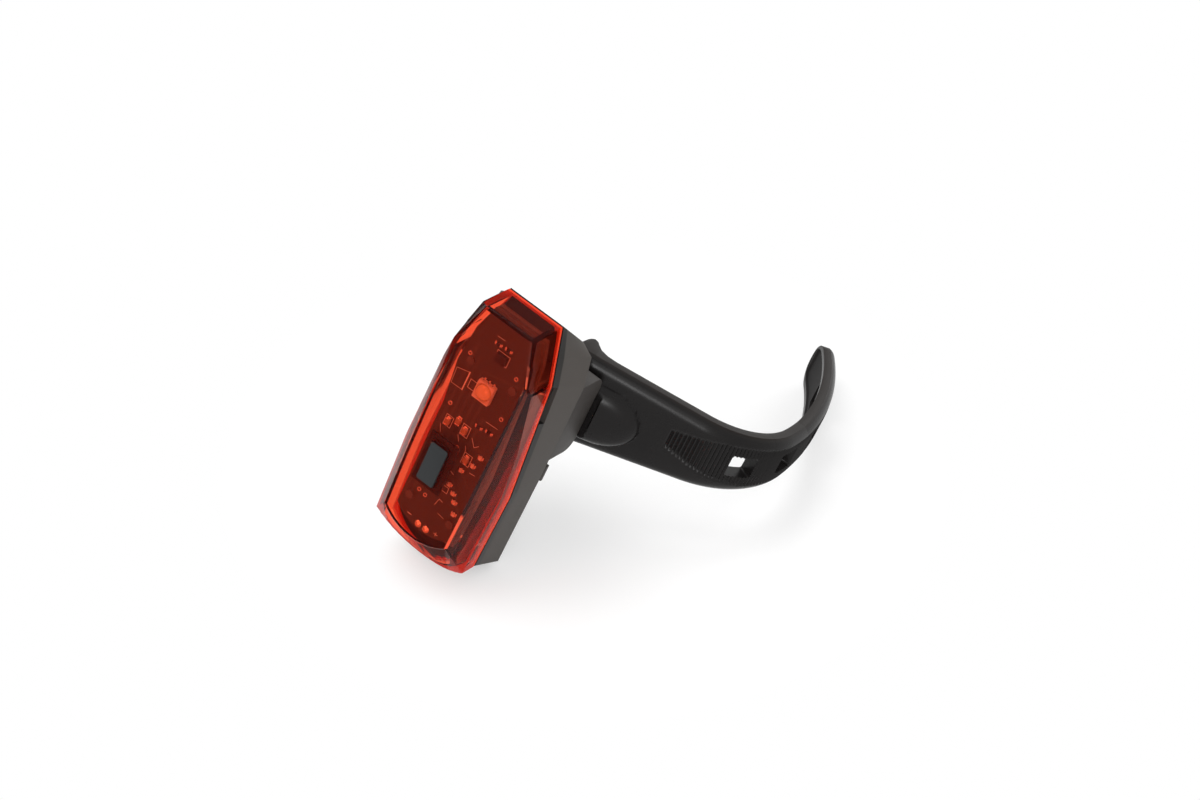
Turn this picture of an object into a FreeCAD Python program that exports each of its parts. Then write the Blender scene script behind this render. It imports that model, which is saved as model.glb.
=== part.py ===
import FreeCAD, Part
import Sketcher
import math
import operator
import os

# A clip-on rear light for a bicycle, with the rubber strap that ties it round a seat post.
# The origin is on the post's axis, level with the middle of the strap.
# +Z runs up the post, the lens faces -Y (rearwards) and +X is the side that the strap leaves from.

# Driving dimensions in millimetres and degrees. Heights in the outlines count up from the lamp's foot.
sizes = {
    "post_radius": 13.6,
    "cut_over": 1.0,
    "join_over": 0.5,
    "rib_gap": 9.4,
    "rib_edge": 0.8,
    "rib_chamfer": 1.2,
    "rib_height": 4.9,
    "rib_foot": 4.9,
    "saddle_thickness": 3.2,
    "saddle_flat": 9.0,
    "saddle_wing": 10.1,
    "saddle_wing_half_width": 4.6,
    "saddle_left_half_width": 8.6,
    "strap_half_width": 11.8,
    "strap_bend_half_width": 8.9,
    "strap_end_half_width": 5.9,
    "strap_thickness": 4.2,
    "strap_angle": 22.7,
    "strap_straight": 30.4,
    "bend_radius": 24.2,
    "end_radius": 83.0,
    "end_turn": 37.4,
    "end_corner": 5.0,
    "taper_reach": 8.0,
    "first_joint": 22.0,
    "second_joint": 9.5,
    "strap_split": 0.3,
    "slot_length": 7.0,
    "slot_height": 5.6,
    "first_slot_distance": 13.0,
    "slot_pitch": 15.8,
    "third_slot_distance": 16.6,
    "fourth_slot_distance": 33.4,
    "slot_cut_margin": 3.0,
    "bulge_length": 11.4,
    "bulge_height": 7.7,
    "bulge_rise": 3.4,
    "bulge_along": 6.6,
    "bulge_drop": 0.9,
    "bulge_gap": 0.3,
    "bulge_back_depth": 2.5,
    "bracket_half_width": 14.7,
    "bracket_depth": 9.5,
    "bracket_height": 21.2,
    "bracket_drop": 10.7,
    "bracket_round": 3.4,
    "channel_half_width": 6.5,
    "channel_lip": 2.0,
    "pocket_half_width": 9.5,
    "pocket_depth": 2.7,
    "channel_floor": 2.5,
    "slide_clearance": 0.1,
    "rail_height": 17.4,
    "screw_radius": 1.5,
    "screw_clearance": 0.02,
    "screw_end_gap": 0.3,
    "screw_reach": 8.0,
    "screw_head_radius": 2.8,
    "screw_head_height": 1.9,
    "screw_cross_width": 0.7,
    "screw_cross_length": 3.4,
    "screw_cross_depth": 1.0,
    "clamp_plate_thickness": 1.0,
    "clamp_plate_height": 15.0,
    "clamp_plate_side_gap": 0.3,
    "hook_top": -1.0,
    "hook_plate_height": 8.4,
    "hook_plate_length": 3.0,
    "hook_plate_start": 6.6,
    "hook_plate_thickness": 1.4,
    "hook_width": 4.6,
    "hook_neck": 2.0,
    "hook_reach": 4.6,
    "hook_lip": 1.4,
    "hook_lip_thickness": 1.6,
    "lamp_gap": 0.15,
    "lamp_drop": 45.0,
    "lamp_height": 70.7,
    "housing_depth": 8.8,
    "housing_wall": 1.3,
    "rear_wall": 1.3,
    "rear_top_half_width": 10.0,
    "rear_top_drop": 5.6,
    "rear_corner_half_width": 13.2,
    "rear_corner_drop": 7.5,
    "rear_shoulder_half_width": 14.7,
    "rear_shoulder_drop": 14.9,
    "rear_waist_half_width": 14.8,
    "rear_waist_height": 29.8,
    "rear_foot_half_width": 14.4,
    "rear_foot_height": 3.5,
    "rear_bulge": 3.4,
    "seam_top_half_width": 7.6,
    "seam_top_drop": 0.0,
    "seam_corner_half_width": 9.6,
    "seam_corner_drop": 7.5,
    "seam_shoulder_half_width": 11.3,
    "seam_shoulder_drop": 13.9,
    "seam_waist_half_width": 13.8,
    "seam_waist_height": 26.3,
    "seam_foot_half_width": 13.1,
    "seam_foot_height": 4.9,
    "seam_bulge": 4.8,
    "front_top_half_width": 6.2,
    "front_top_drop": 0.3,
    "front_corner_half_width": 8.3,
    "front_corner_drop": 6.3,
    "front_shoulder_half_width": 10.1,
    "front_shoulder_drop": 11.4,
    "front_waist_half_width": 9.35,
    "front_waist_height": 26.3,
    "front_foot_half_width": 9.0,
    "front_foot_height": 12.0,
    "front_bulge": 3.2,
    "slope_top_half_width": 17.4,
    "slope_top_drop": 0.0,
    "slope_corner_half_width": 14.2,
    "slope_corner_drop": 10.0,
    "slope_shoulder_half_width": 13.0,
    "slope_shoulder_drop": 16.5,
    "slope_waist_half_width": 13.8,
    "slope_waist_height": 26.3,
    "slope_foot_half_width": 13.1,
    "slope_foot_height": 4.9,
    "slope_bulge": 2.2,
    "slope_depth": 6.4,
    "lens_depth": 11.0,
    "lens_wall": 1.5,
    "lens_front_wall": 1.8,
    "tab_half_width": 3.5,
    "tab_root": 2.5,
    "tab_reach": 2.4,
    "tab_thickness": 1.0,
    "top_tab_drop": 3.0,
    "foot_tab_height": 2.8,
    "foot_root_height": 1.1,
    "seal_gap": 0.6,
    "seal_clearance": 0.05,
    "seal_width": 1.1,
    "seal_inset": 0.15,
    "coin_slot_drop": 24.3,
    "coin_slot_length": 9.9,
    "coin_slot_width": 1.6,
    "coin_slot_depth": 1.0,
    "board_top_half_width": 6.2,
    "board_top_drop": 3.1,
    "board_corner_half_width": 8.1,
    "board_corner_drop": 8.7,
    "board_shoulder_half_width": 9.1,
    "board_shoulder_drop": 18.3,
    "board_waist_half_width": 8.0,
    "board_waist_height": 41.2,
    "board_foot_half_width": 8.1,
    "board_foot_height": 11.4,
    "board_bulge": 2.9,
    "board_set_back": 5.2,
    "board_thickness": 1.0,
    "post_height": 0.7,
    "post_spread": 6.0,
    "lower_post_height": 15.0,
    "upper_post_drop": 16.7,
    "board_post_radius": 1.2,
    "board_pin_radius": 0.6,
    "board_pin_head_radius": 1.0,
    "board_pin_head": 0.4,
    "pin_clearance": 0.05,
    "carrier_plate": 1.3,
    "carrier_wall": 1.3,
    "carrier_depth": 9.0,
    "carrier_foot": 8.3,
    "carrier_foot_half_width": 7.5,
    "carrier_top_half_width": 8.8,
    "cell_radius": 5.15,
    "cell_length": 44.5,
    "cell_nub_radius": 1.9,
    "cell_nub_length": 1.0,
    "cell_spacing": 0.4,
    "cell_plate_gap": 0.15,
    "contact_thickness": 0.3,
    "contact_inner": 0.5,
    "contact_outer": 7.2,
    "contact_depth": 7.0,
    "contact_leg_width": 1.1,
    "contact_leg_proud": 0.5,
    "leg_clearance": 0.1,
    "spring_length": 1.6,
    "spring_radius": 3.0,
    "spring_tip_radius": 1.9,
    "solder_radius": 0.95,
    "solder_tip_radius": 0.475,
    "solder_height": 0.6,
    "button_width": 4.7,
    "button_height": 10.3,
    "button_gap": 0.1,
    "button_left": 2.15,
    "button_drop": 16.65,
    "button_proud": 0.2,
    "button_depth": 3.5,
    "button_corner": 0.5,
    "button_flange": 0.8,
    "button_flange_thickness": 0.7,
    "boot_width": 1.6,
    "boot_thickness": 0.7,
    "boot_gap": 0.3,
    "switch_width": 4.5,
    "switch_height": 1.3,
    "plunger_radius": 0.9,
    "plunger_proud": 0.35,
    "plunger_length": 1.25,
    "plunger_clearance": 0.05,
    "led_across": 0.35,
    "led_up": 4.9,
    "led_width": 4.8,
    "led_height": 1.6,
    "led_dome_radius": 1.9,
    "led_dome_height": 0.9,
    "led_dome_round": 0.7,
    "resistor_width": 1.6,
    "resistor_height": 0.8,
    "resistor_thickness": 0.45,
    "capacitor_width": 1.3,
    "capacitor_height": 1.9,
    "capacitor_thickness": 0.8,
    "diode_width": 1.1,
    "diode_height": 1.0,
    "diode_thickness": 0.6,
    "controller_width": 2.9,
    "controller_height": 2.1,
    "controller_thickness": 0.9,
    "latch_set_back": 7.0,
    "latch_lift": 1.8,
    "latch_barrel_radius": 1.5,
    "latch_half_width": 4.0,
    "latch_side_gap": 0.1,
    "latch_pin_radius": 0.7,
    "latch_pin_clearance": 0.05,
    "latch_pin_half_length": 7.0,
    "latch_notch_gap": 0.25,
    "latch_web_thickness": 2.25,
    "latch_arm_drop": 0.6,
    "latch_arm_thickness": 1.8,
    "latch_bar_half_width": 14.8,
    "latch_bar_height": 4.4,
    "latch_bar_thickness": 2.0,
    "latch_bar_round": 0.8,
    "latch_bar_gap": 0.3,
    "latch_bar_drop": 2.0,
}

# Small parts on the board: x, height above the origin.
RESISTORS = ((2.4, -3.9), (5.2, -3.5))
CAPACITORS = ((-4.9, -7.6), (-2.5, -5.8), (-0.2, -7.0), (3.0, -13.0))
DIODES = ((6.0, -10.2), (5.1, -13.2), (3.0, -16.0), (1.9, -21.0), (3.7, -22.4), (4.8, -24.2), (5.9, -26.9))
# Those near the top of the board: x, drop from the top of the lamp.
UPPER_RESISTORS = ((-1.6, 9.0), (1.2, 8.8))
UPPER_CONTROLLER = ((0.5, 11.6),)

doc = FreeCAD.newDocument("TailLight")
sheet = doc.addObject("Spreadsheet::Sheet", "Sizes")
for row, (alias, value) in enumerate(sizes.items(), start=1):
    sheet.set(f"A{row}", alias)
    sheet.set(f"B{row}", str(value))
    sheet.setAlias(f"B{row}", alias)
doc.recompute()


class Length:
    """A number together with the sheet expression that gives it."""

    def __init__(self, number, text):
        self.number = number
        self.text = text

    def joined(self, other, sign, work):
        other = length(other)
        return Length(work(self.number, other.number), f"({self.text} {sign} {other.text})")

    def __add__(self, other):
        return self.joined(other, "+", operator.add)

    def __sub__(self, other):
        return self.joined(other, "-", operator.sub)

    def __mul__(self, other):
        return self.joined(other, "*", operator.mul)

    def __truediv__(self, other):
        return self.joined(other, "/", operator.truediv)

    def __neg__(self):
        return Length(-self.number, f"(0 - {self.text})")

    def root(self):
        return Length(math.sqrt(self.number), f"sqrt({self.text})")

    def sine(self):
        return Length(math.sin(math.radians(self.number)), f"sin({self.text})")

    def cosine(self):
        return Length(math.cos(math.radians(self.number)), f"cos({self.text})")

    def in_degrees(self):
        return Length(math.degrees(self.number), f"({self.text} * 180 / pi)")


def length(value):
    if isinstance(value, Length):
        return value
    return Length(float(value), repr(float(value)))


def size(alias):
    """The sheet's value under that name."""
    return Length(float(sheet.get(alias)), f"Sizes.{alias}")


nodes = {}


def keep(node, piece):
    """Gives a finished piece its node name."""
    piece.Label = node
    nodes[node] = piece
    return piece


def bind(thing, **values):
    for name, value in values.items():
        thing.setExpression(name, length(value).text)


def place(thing, x, y, z):
    for axis, value in zip("xyz", (x, y, z)):
        thing.setExpression(f"Placement.Base.{axis}", length(value).text)


def box(name, x, y, z):
    """A block between two limits on each axis."""
    block = doc.addObject("Part::Box", name)
    low = [length(limits[0]) for limits in (x, y, z)]
    high = [length(limits[1]) for limits in (x, y, z)]
    bind(block, Length=high[0] - low[0], Width=high[1] - low[1], Height=high[2] - low[2])
    place(block, *low)
    return block


def slanted_box(name, corner, angle, along, across, z):
    """A block turned about Z, with one corner given and its length along the angle."""
    block = doc.addObject("Part::Box", name)
    bind(block, Length=along, Width=across, Height=z[1] - z[0])
    block.Placement = FreeCAD.Placement(FreeCAD.Vector(0, 0, 0), FreeCAD.Rotation(FreeCAD.Vector(0, 0, 1), 1))
    block.setExpression("Placement.Rotation.Angle", angle.text)
    place(block, corner[0], corner[1], z[0])
    return block


AXES = {"x": FreeCAD.Vector(0, 1, 0), "y": FreeCAD.Vector(-1, 0, 0)}


def turned(thing, axis):
    """Stands a round primitive along +X, +Y or +Z."""
    if axis in AXES:
        thing.Placement = FreeCAD.Placement(FreeCAD.Vector(0, 0, 0), FreeCAD.Rotation(AXES[axis], 90))
    return thing


def cylinder(name, axis, start, radius, height):
    rod = turned(doc.addObject("Part::Cylinder", name), axis)
    bind(rod, Radius=radius, Height=height)
    place(rod, *start)
    return rod


def cone(name, axis, start, foot_radius, tip_radius, height):
    taper = turned(doc.addObject("Part::Cone", name), axis)
    bind(taper, Radius1=foot_radius, Radius2=tip_radius, Height=height)
    place(taper, *start)
    return taper


def fuse(name, *pieces):
    result = doc.addObject("Part::MultiFuse", name)
    result.Shapes = list(pieces)
    return result


def cut(name, base, *tools):
    result = doc.addObject("Part::Cut", name)
    result.Base = base
    result.Tool = tools[0] if len(tools) == 1 else fuse(name + "_tools", *tools)
    return result


def common(name, *pieces):
    result = doc.addObject("Part::MultiCommon", name)
    result.Shapes = list(pieces)
    return result


def group(name, *pieces):
    result = doc.addObject("Part::Compound", name)
    result.Links = list(pieces)
    return result


def fillet(name, base, radius, wanted):
    """Rounds the edges of base that the test wants."""
    doc.recompute()
    result = doc.addObject("Part::Fillet", name)
    result.Base = base
    result.Edges = [
        (number, radius.number, radius.number)
        for number, edge in enumerate(base.Shape.Edges, start=1)
        if wanted(edge)
    ]
    return result


def runs_along(edge, axis):
    """True for a straight edge that runs along x, y or z."""
    step = edge.Vertexes[-1].Point - edge.Vertexes[0].Point
    others = [abs(getattr(step, other)) for other in "xyz" if other != axis]
    return step.Length > 1e-6 and max(others) < 1e-6


def plane_of(body, role):
    return next(feature for feature in body.Origin.OriginFeatures if feature.Role == role)


def new_body(name):
    return doc.addObject("PartDesign::Body", name)


def new_sketch(body, name, role):
    sketch = body.newObject("Sketcher::SketchObject", name)
    sketch.AttachmentSupport = [(plane_of(body, role), "")]
    sketch.MapMode = "FlatFace"
    return sketch


def dimension(sketch, kind, value, *where):
    made = sketch.addConstraint(Sketcher.Constraint(kind, *where, value.number))
    sketch.setExpression(f"Constraints[{made}]", value.text)


def pin(sketch, geometry, end, x, y):
    """Fixes a point of the sketch at x, y from the sketch's origin."""
    for kind, value in (("DistanceX", x), ("DistanceY", y)):
        if value.number < 0:
            dimension(sketch, kind, -value, geometry, end, -1, 1)
        else:
            dimension(sketch, kind, value, -1, 1, geometry, end)


def drawn(body, name, role, path):
    """A closed outline of lines and arcs: each entry is x, y and the radius of the arc to the next point.

    The radius is None for a line, positive for an arc that turns left and negative for one that turns right.
    """
    sketch = new_sketch(body, name, role)
    ends = []
    for (x, y, radius), (next_x, next_y, _) in zip(path, path[1:] + path[:1]):
        first = FreeCAD.Vector(x.number, y.number, 0)
        last = FreeCAD.Vector(next_x.number, next_y.number, 0)
        if radius is None:
            sketch.addGeometry(Part.LineSegment(first, last))
            ends.append((1, 2))
            continue
        step = last - first
        turn = math.copysign(1.0, radius.number)
        side = FreeCAD.Vector(-step.y, step.x, 0).normalize() * turn
        centre = (first + last) * 0.5 + side * math.sqrt(radius.number ** 2 - step.Length ** 2 / 4)
        start, stop = (first, last) if turn > 0 else (last, first)
        angles = [math.atan2(point.y - centre.y, point.x - centre.x) for point in (start, stop)]
        circle = Part.Circle(centre, FreeCAD.Vector(0, 0, 1), abs(radius.number))
        sketch.addGeometry(Part.ArcOfCircle(circle, angles[0], angles[1]))
        ends.append((1, 2) if turn > 0 else (2, 1))
    count = len(path)
    for number in range(count):
        following = (number + 1) % count
        joint = Sketcher.Constraint("Coincident", number, ends[number][1], following, ends[following][0])
        sketch.addConstraint(joint)
    for number, (x, y, radius) in enumerate(path):
        pin(sketch, number, ends[number][0], x, y)
        if radius is not None:
            dimension(sketch, "Radius", radius if radius.number > 0 else -radius, number)
    return sketch


def slab(name, role, path, thickness):
    """An outline given thickness on both sides of its plane."""
    body = new_body(name)
    pad = body.newObject("PartDesign::Pad", name + "_pad")
    pad.Profile = drawn(body, name + "_outline", role, path)
    pad.Midplane = True
    pad.setExpression("Length", thickness.text)
    return body


# Levels along Y, from the post forwards to the lens.
rib_crest_x = size("rib_gap") / 2 + size("rib_edge")
crest_y = -(size("post_radius") * size("post_radius") - rib_crest_x * rib_crest_x).root()
floor_y = crest_y - size("rib_height")
saddle_y = floor_y - size("saddle_thickness")
bracket_y = saddle_y - size("bracket_depth")
rear_y = bracket_y - size("lamp_gap")
rim_y = rear_y - size("housing_depth")
seam_y = rim_y - size("seal_gap")
front_y = seam_y - size("lens_depth")
foot_z = -size("lamp_drop")

# The lamp's outline has five corners on each side, from the top down, and an arc across its foot.
# The upper corners are placed from the lamp's top and the lower ones from its foot.
UPPER = ("top", "corner", "shoulder")
LOWER = ("waist", "foot")
CORNERS = UPPER + LOWER
LIFT = {"top": -1.0, "foot": 1.0}


def outline(level):
    """Half widths and heights of one outline's corners, and the drop of its foot arc."""
    heights = [size("lamp_height") - size(f"{level}_{name}_drop") for name in UPPER]
    heights += [size(f"{level}_{name}_height") for name in LOWER]
    half_widths = [size(f"{level}_{name}_half_width") for name in CORNERS]
    return list(zip(half_widths, heights)), size(f"{level}_bulge")


def between(first, second, share):
    """The outline at a share of the way from one outline to another."""
    corners = [
        (w1 + (w2 - w1) * share, h1 + (h2 - h1) * share)
        for (w1, h1), (w2, h2) in zip(first[0], second[0])
    ]
    return corners, first[1] + (second[1] - first[1]) * share


def inset(shape, wall):
    """The outline drawn in by a wall's thickness."""
    corners = [(w - wall, h + wall * LIFT.get(name, 0.0)) for name, (w, h) in zip(CORNERS, shape[0])]
    return corners, shape[1]


def lamp_sketch(body, name, y, shape):
    """An upright outline at y, with its heights counted from the lamp's foot."""
    corners, bulge = shape
    sketch = new_sketch(body, name, "XZ_Plane")
    sketch.setExpression("AttachmentOffset.Base.z", (-y).text)
    sketch.setExpression("AttachmentOffset.Base.y", foot_z.text)
    right = [FreeCAD.Vector(w.number, h.number, 0) for w, h in corners]
    left = [FreeCAD.Vector(-point.x, point.y, 0) for point in right]
    last = len(corners) - 1
    sketch.addGeometry(Part.LineSegment(left[0], right[0]))
    for side in (right, left):
        for number in range(last):
            sketch.addGeometry(Part.LineSegment(side[number], side[number + 1]))
    foot_half_width, foot_height = corners[-1]
    radius = (foot_half_width * foot_half_width + bulge * bulge) / (bulge * 2)
    centre = FreeCAD.Vector(0, foot_height.number - bulge.number + radius.number, 0)
    half_turn = math.asin(foot_half_width.number / radius.number)
    circle = Part.Circle(centre, FreeCAD.Vector(0, 0, 1), radius.number)
    sketch.addGeometry(Part.ArcOfCircle(circle, 1.5 * math.pi - half_turn, 1.5 * math.pi + half_turn))
    arc = 2 * last + 1
    joints = [(0, 2, 1, 1), (0, 1, last + 1, 1), (last, 2, arc, 2), (2 * last, 2, arc, 1)]
    for number in range(1, last):
        joints.append((number, 2, number + 1, 1))
        joints.append((last + number, 2, last + number + 1, 1))
    for joint in joints:
        sketch.addConstraint(Sketcher.Constraint("Coincident", *joint))
    for number, (half_width, height) in enumerate(corners):
        line, end = (number + 1, 1) if number < last else (last, 2)
        pin(sketch, line, end, half_width, height)
        sketch.addConstraint(Sketcher.Constraint("Symmetric", line, end, line + last, end, -2))
    dimension(sketch, "Radius", radius, arc)
    return sketch


def lamp_loft(body, name, kind, stations):
    """A straight-sided loft through outlines at their y levels."""
    sketches = [lamp_sketch(body, f"{name}_{number}", y, shape) for number, (y, shape) in enumerate(stations)]
    loft = body.newObject(f"PartDesign::{kind}Loft", name)
    loft.Profile = sketches[0]
    loft.Sections = sketches[1:]
    loft.Ruled = True


def lamp_plate(name, y, shape, thickness):
    """A plate of one outline that starts at y and reaches back towards the post."""
    body = new_body(name)
    pad = body.newObject("PartDesign::Pad", name + "_pad")
    pad.Profile = lamp_sketch(body, name + "_outline", y, shape)
    pad.Reversed = True
    pad.setExpression("Length", thickness.text)
    return body


front = outline("front")
slope_edge = outline("slope")
seam = outline("seam")
rear = outline("rear")
inner_y = front_y + size("lens_front_wall")


def lens_form(name, start_y, wall):
    """The lens's outside or its hollow: a prism of the seam's outline, cut by slopes from the front face."""
    reach = seam_y - start_y
    prism = lamp_plate(name + "_prism", start_y, inset(seam, wall), reach)
    slopes = new_body(name + "_slopes")
    stations = []
    for y in (start_y, seam_y):
        share = (y - front_y) / size("slope_depth")
        stations.append((y, inset(between(front, slope_edge, share), wall)))
    lamp_loft(slopes, name + "_slope", "Additive", stations)
    return common(name, prism, slopes)


# The lens: a faceted cup with a window for the button and a tab at each end that goes into the housing.
lens_outside = lens_form("Lens_outside", front_y, length(0))
lens_inside = lens_form("Lens_inside", inner_y, size("lens_wall"))
lens_cup = cut("Lens_cup", lens_outside, lens_inside)
button_x = -size("button_left")
button_z = -size("button_drop")


def around_button(name, y, margin):
    """A block through the button's place, larger than the button by a margin on each side."""
    half_width = size("button_width") / 2 + margin
    half_height = size("button_height") / 2 + margin
    return box(
        name,
        (button_x - half_width, button_x + half_width),
        y,
        (button_z - half_height, button_z + half_height),
    )


tab_x = (-size("tab_half_width"), size("tab_half_width"))
top_tab_z = foot_z + size("lamp_height") - size("top_tab_drop") - size("tab_thickness")
top_tab = box(
    "Top_tab",
    tab_x,
    (seam_y - size("tab_root"), seam_y + size("tab_reach")),
    (top_tab_z, top_tab_z + size("tab_thickness")),
)
top_tab_root = box(
    "Top_tab_root",
    tab_x,
    (seam_y - size("tab_root"), seam_y - size("seal_clearance")),
    (top_tab_z, top_tab_z + size("top_tab_drop")),
)
foot_tab_z = foot_z + size("foot_tab_height")
foot_tab = box(
    "Foot_tab",
    tab_x,
    (seam_y - size("tab_root"), seam_y + size("tab_reach")),
    (foot_tab_z, foot_tab_z + size("tab_thickness")),
)
foot_tab_root = box(
    "Foot_tab_root",
    tab_x,
    (seam_y - size("tab_root"), seam_y - size("seal_clearance")),
    (foot_z + size("foot_root_height"), foot_tab_z + size("tab_thickness")),
)
cut_over = size("cut_over")
window = around_button("Window", (front_y - cut_over, inner_y + cut_over), size("button_gap"))
lens_with_tabs = fuse("Lens_with_tabs", lens_cup, top_tab, top_tab_root, foot_tab, foot_tab_root)
keep("lens_cover", cut("Lens_cover", lens_with_tabs, window))

# The button, its rubber frame behind the lens and the switch that it presses.
button_back = front_y + size("button_depth")
cap = around_button("Cap", (front_y - size("button_proud"), button_back), 0.0)
rounded_cap = fillet("Rounded_cap", cap, size("button_corner"), lambda edge: runs_along(edge, "y"))
flange_y = (button_back - size("button_flange_thickness"), button_back)
flange = around_button("Flange", flange_y, size("button_flange"))
keep("push_button", fuse("Push_button", rounded_cap, flange))
boot_outside = around_button("Boot_outside", (inner_y, inner_y + size("boot_thickness")), size("boot_width"))
boot_back = inner_y + size("boot_thickness")
boot_inside = around_button("Boot_inside", (inner_y - cut_over, boot_back + cut_over), size("boot_gap"))
keep("button_boot", cut("Button_boot", boot_outside, boot_inside))

board_y = front_y + size("board_set_back")
switch_y = board_y - size("switch_height")
switch_half = size("switch_width") / 2
switch_case = box(
    "Switch_case",
    (button_x - switch_half, button_x + switch_half),
    (switch_y, board_y),
    (button_z - switch_half, button_z + switch_half),
)
plunger_y = switch_y - size("plunger_proud")
plunger_hole = cylinder(
    "Plunger_hole",
    "y",
    (button_x, switch_y - cut_over, button_z),
    size("plunger_radius") + size("plunger_clearance"),
    size("switch_height") + cut_over * 2,
)
keep("tact_switch", cut("Tact_switch", switch_case, plunger_hole))
keep(
    "switch_plunger",
    cylinder(
        "Switch_plunger", "y", (button_x, plunger_y, button_z), size("plunger_radius"), size("plunger_length")
    ),
)

# The board stands on four posts of the battery carrier.
board_shape = outline("board")
board_back_y = board_y + size("board_thickness")
plate_y = board_back_y + size("post_height")
plate_back_y = plate_y + size("carrier_plate")
post_heights = (size("lower_post_height"), size("lamp_height") - size("upper_post_drop"))
post_places = [
    (x, foot_z + height) for x in (-size("post_spread"), size("post_spread")) for height in post_heights
]
contact_foot_z = foot_z + size("carrier_foot") + size("carrier_wall")


def leg_block(name, side, y, margin):
    """The leg of a battery contact, or the hole for it, on the left (-1) or the right (1)."""
    near = size("contact_inner") * side
    far = (size("contact_inner") + size("contact_leg_width")) * side
    low, high = (near, far) if side > 0 else (far, near)
    return box(
        name,
        (low - margin, high + margin),
        y,
        (contact_foot_z - margin, contact_foot_z + size("contact_thickness") + margin),
    )


through_board = (board_y - cut_over, plate_back_y + cut_over)
leg_holes = [leg_block(f"Leg_hole_{side + 1}", side, through_board, size("leg_clearance")) for side in (-1, 1)]
pin_holes = [
    cylinder(
        f"Pin_hole_{number}",
        "y",
        (x, board_y - cut_over, z),
        size("board_pin_radius") + size("pin_clearance"),
        size("board_thickness") + cut_over * 2,
    )
    for number, (x, z) in enumerate(post_places)
]
board_plate = lamp_plate("Board_plate", board_y, board_shape, size("board_thickness"))
keep("circuit_board", cut("Circuit_board", board_plate, *leg_holes, *pin_holes))

# The battery carrier: a plate with a wall at each end.
carrier_face = lamp_plate("Carrier_face", plate_y, board_shape, size("carrier_plate"))
wall_y = (plate_y + size("post_height"), plate_back_y + size("carrier_depth"))
cell_foot_z = contact_foot_z + size("contact_thickness") + size("spring_length")
cell_top_z = cell_foot_z + size("cell_length")
contact_top_z = cell_top_z + size("contact_thickness")
foot_wall = box(
    "Foot_wall",
    (-size("carrier_foot_half_width"), size("carrier_foot_half_width")),
    wall_y,
    (contact_foot_z - size("carrier_wall"), contact_foot_z),
)
top_wall = box(
    "Top_wall",
    (-size("carrier_top_half_width"), size("carrier_top_half_width")),
    wall_y,
    (contact_top_z, contact_top_z + size("carrier_wall")),
)
posts = []
post_length = size("post_height") + size("join_over")
for number, (x, z) in enumerate(post_places):
    head_y = board_y - size("board_pin_head")
    posts.append(cylinder(f"Post_{number}", "y", (x, board_back_y, z), size("board_post_radius"), post_length))
    posts.append(
        cylinder(f"Pin_{number}", "y", (x, head_y, z), size("board_pin_radius"), plate_y - head_y)
    )
    posts.append(
        cylinder(
            f"Pin_head_{number}", "y", (x, head_y, z), size("board_pin_head_radius"), size("board_pin_head")
        )
    )
carrier = fuse("Carrier_solid", carrier_face, foot_wall, top_wall, *posts)
plate_leg_holes = [
    leg_block(f"Plate_leg_hole_{side + 1}", side, through_board, size("leg_clearance")) for side in (-1, 1)
]
keep("battery_carrier", cut("Battery_carrier", carrier, *plate_leg_holes))

# Two AAA cells, the left one with its plus end up, joined at the top by the bridge.
cell_x = size("cell_radius") + size("cell_spacing") / 2
cell_y = plate_back_y + size("cell_plate_gap") + size("cell_radius")
can_length = size("cell_length") - size("cell_nub_length")


def cell(node, name, x, foot, plus_up):
    can_foot = foot if plus_up else foot + size("cell_nub_length")
    nub_foot = foot + can_length if plus_up else foot
    can = cylinder(name + "_can", "z", (x, cell_y, can_foot), size("cell_radius"), can_length)
    nub = cylinder(name + "_nub", "z", (x, cell_y, nub_foot), size("cell_nub_radius"), size("cell_nub_length"))
    keep(node, fuse(name, can, nub))


right_foot_z = contact_foot_z + size("contact_thickness")
cell("battery_cell_left", "Left_cell", -cell_x, cell_foot_z, True)
cell("battery_cell_right", "Right_cell", cell_x, right_foot_z, False)
keep(
    "contact_spring_left",
    cone(
        "Left_spring",
        "z",
        (-cell_x, cell_y, right_foot_z),
        size("spring_radius"),
        size("spring_tip_radius"),
        size("spring_length"),
    ),
)
keep(
    "contact_spring_right",
    cone(
        "Right_spring",
        "z",
        (cell_x, cell_y, right_foot_z + size("cell_length")),
        size("spring_tip_radius"),
        size("spring_radius"),
        size("spring_length"),
    ),
)
contact_y = (plate_back_y + size("leg_clearance"), plate_back_y + size("contact_depth"))
keep(
    "contact_bridge",
    box(
        "Bridge",
        (-size("contact_outer"), size("contact_outer")),
        contact_y,
        (cell_top_z, contact_top_z),
    ),
)
for node, side in (("negative_contact", -1), ("positive_contact", 1)):
    near = size("contact_inner") * side
    far = size("contact_outer") * side
    low, high = (near, far) if side > 0 else (far, near)
    contact_z = (contact_foot_z, contact_foot_z + size("contact_thickness"))
    sheet_metal = box(node + "_plate", (low, high), contact_y, contact_z)
    leg = leg_block(node + "_leg", side, (board_y - size("contact_leg_proud"), contact_y[1]), 0.0)
    keep(node, fuse(node + "_metal", sheet_metal, leg))
solder = []
for side in (-1, 1):
    x = (size("contact_inner") + size("contact_leg_width") / 2) * side
    z = contact_foot_z + size("contact_thickness") / 2
    blob = cone(
        f"Solder_blob_{side + 1}",
        "y",
        (x, board_y - size("solder_height"), z),
        size("solder_tip_radius"),
        size("solder_radius"),
        size("solder_height"),
    )
    through_solder = (board_y - size("solder_height") - cut_over, board_y + cut_over)
    hole = leg_block(f"Solder_hole_{side + 1}", side, through_solder, 0.0)
    solder.append(cut(f"Solder_joint_{side + 1}", blob, hole))
keep("solder_joints", group("Solder_joints", *solder))

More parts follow.
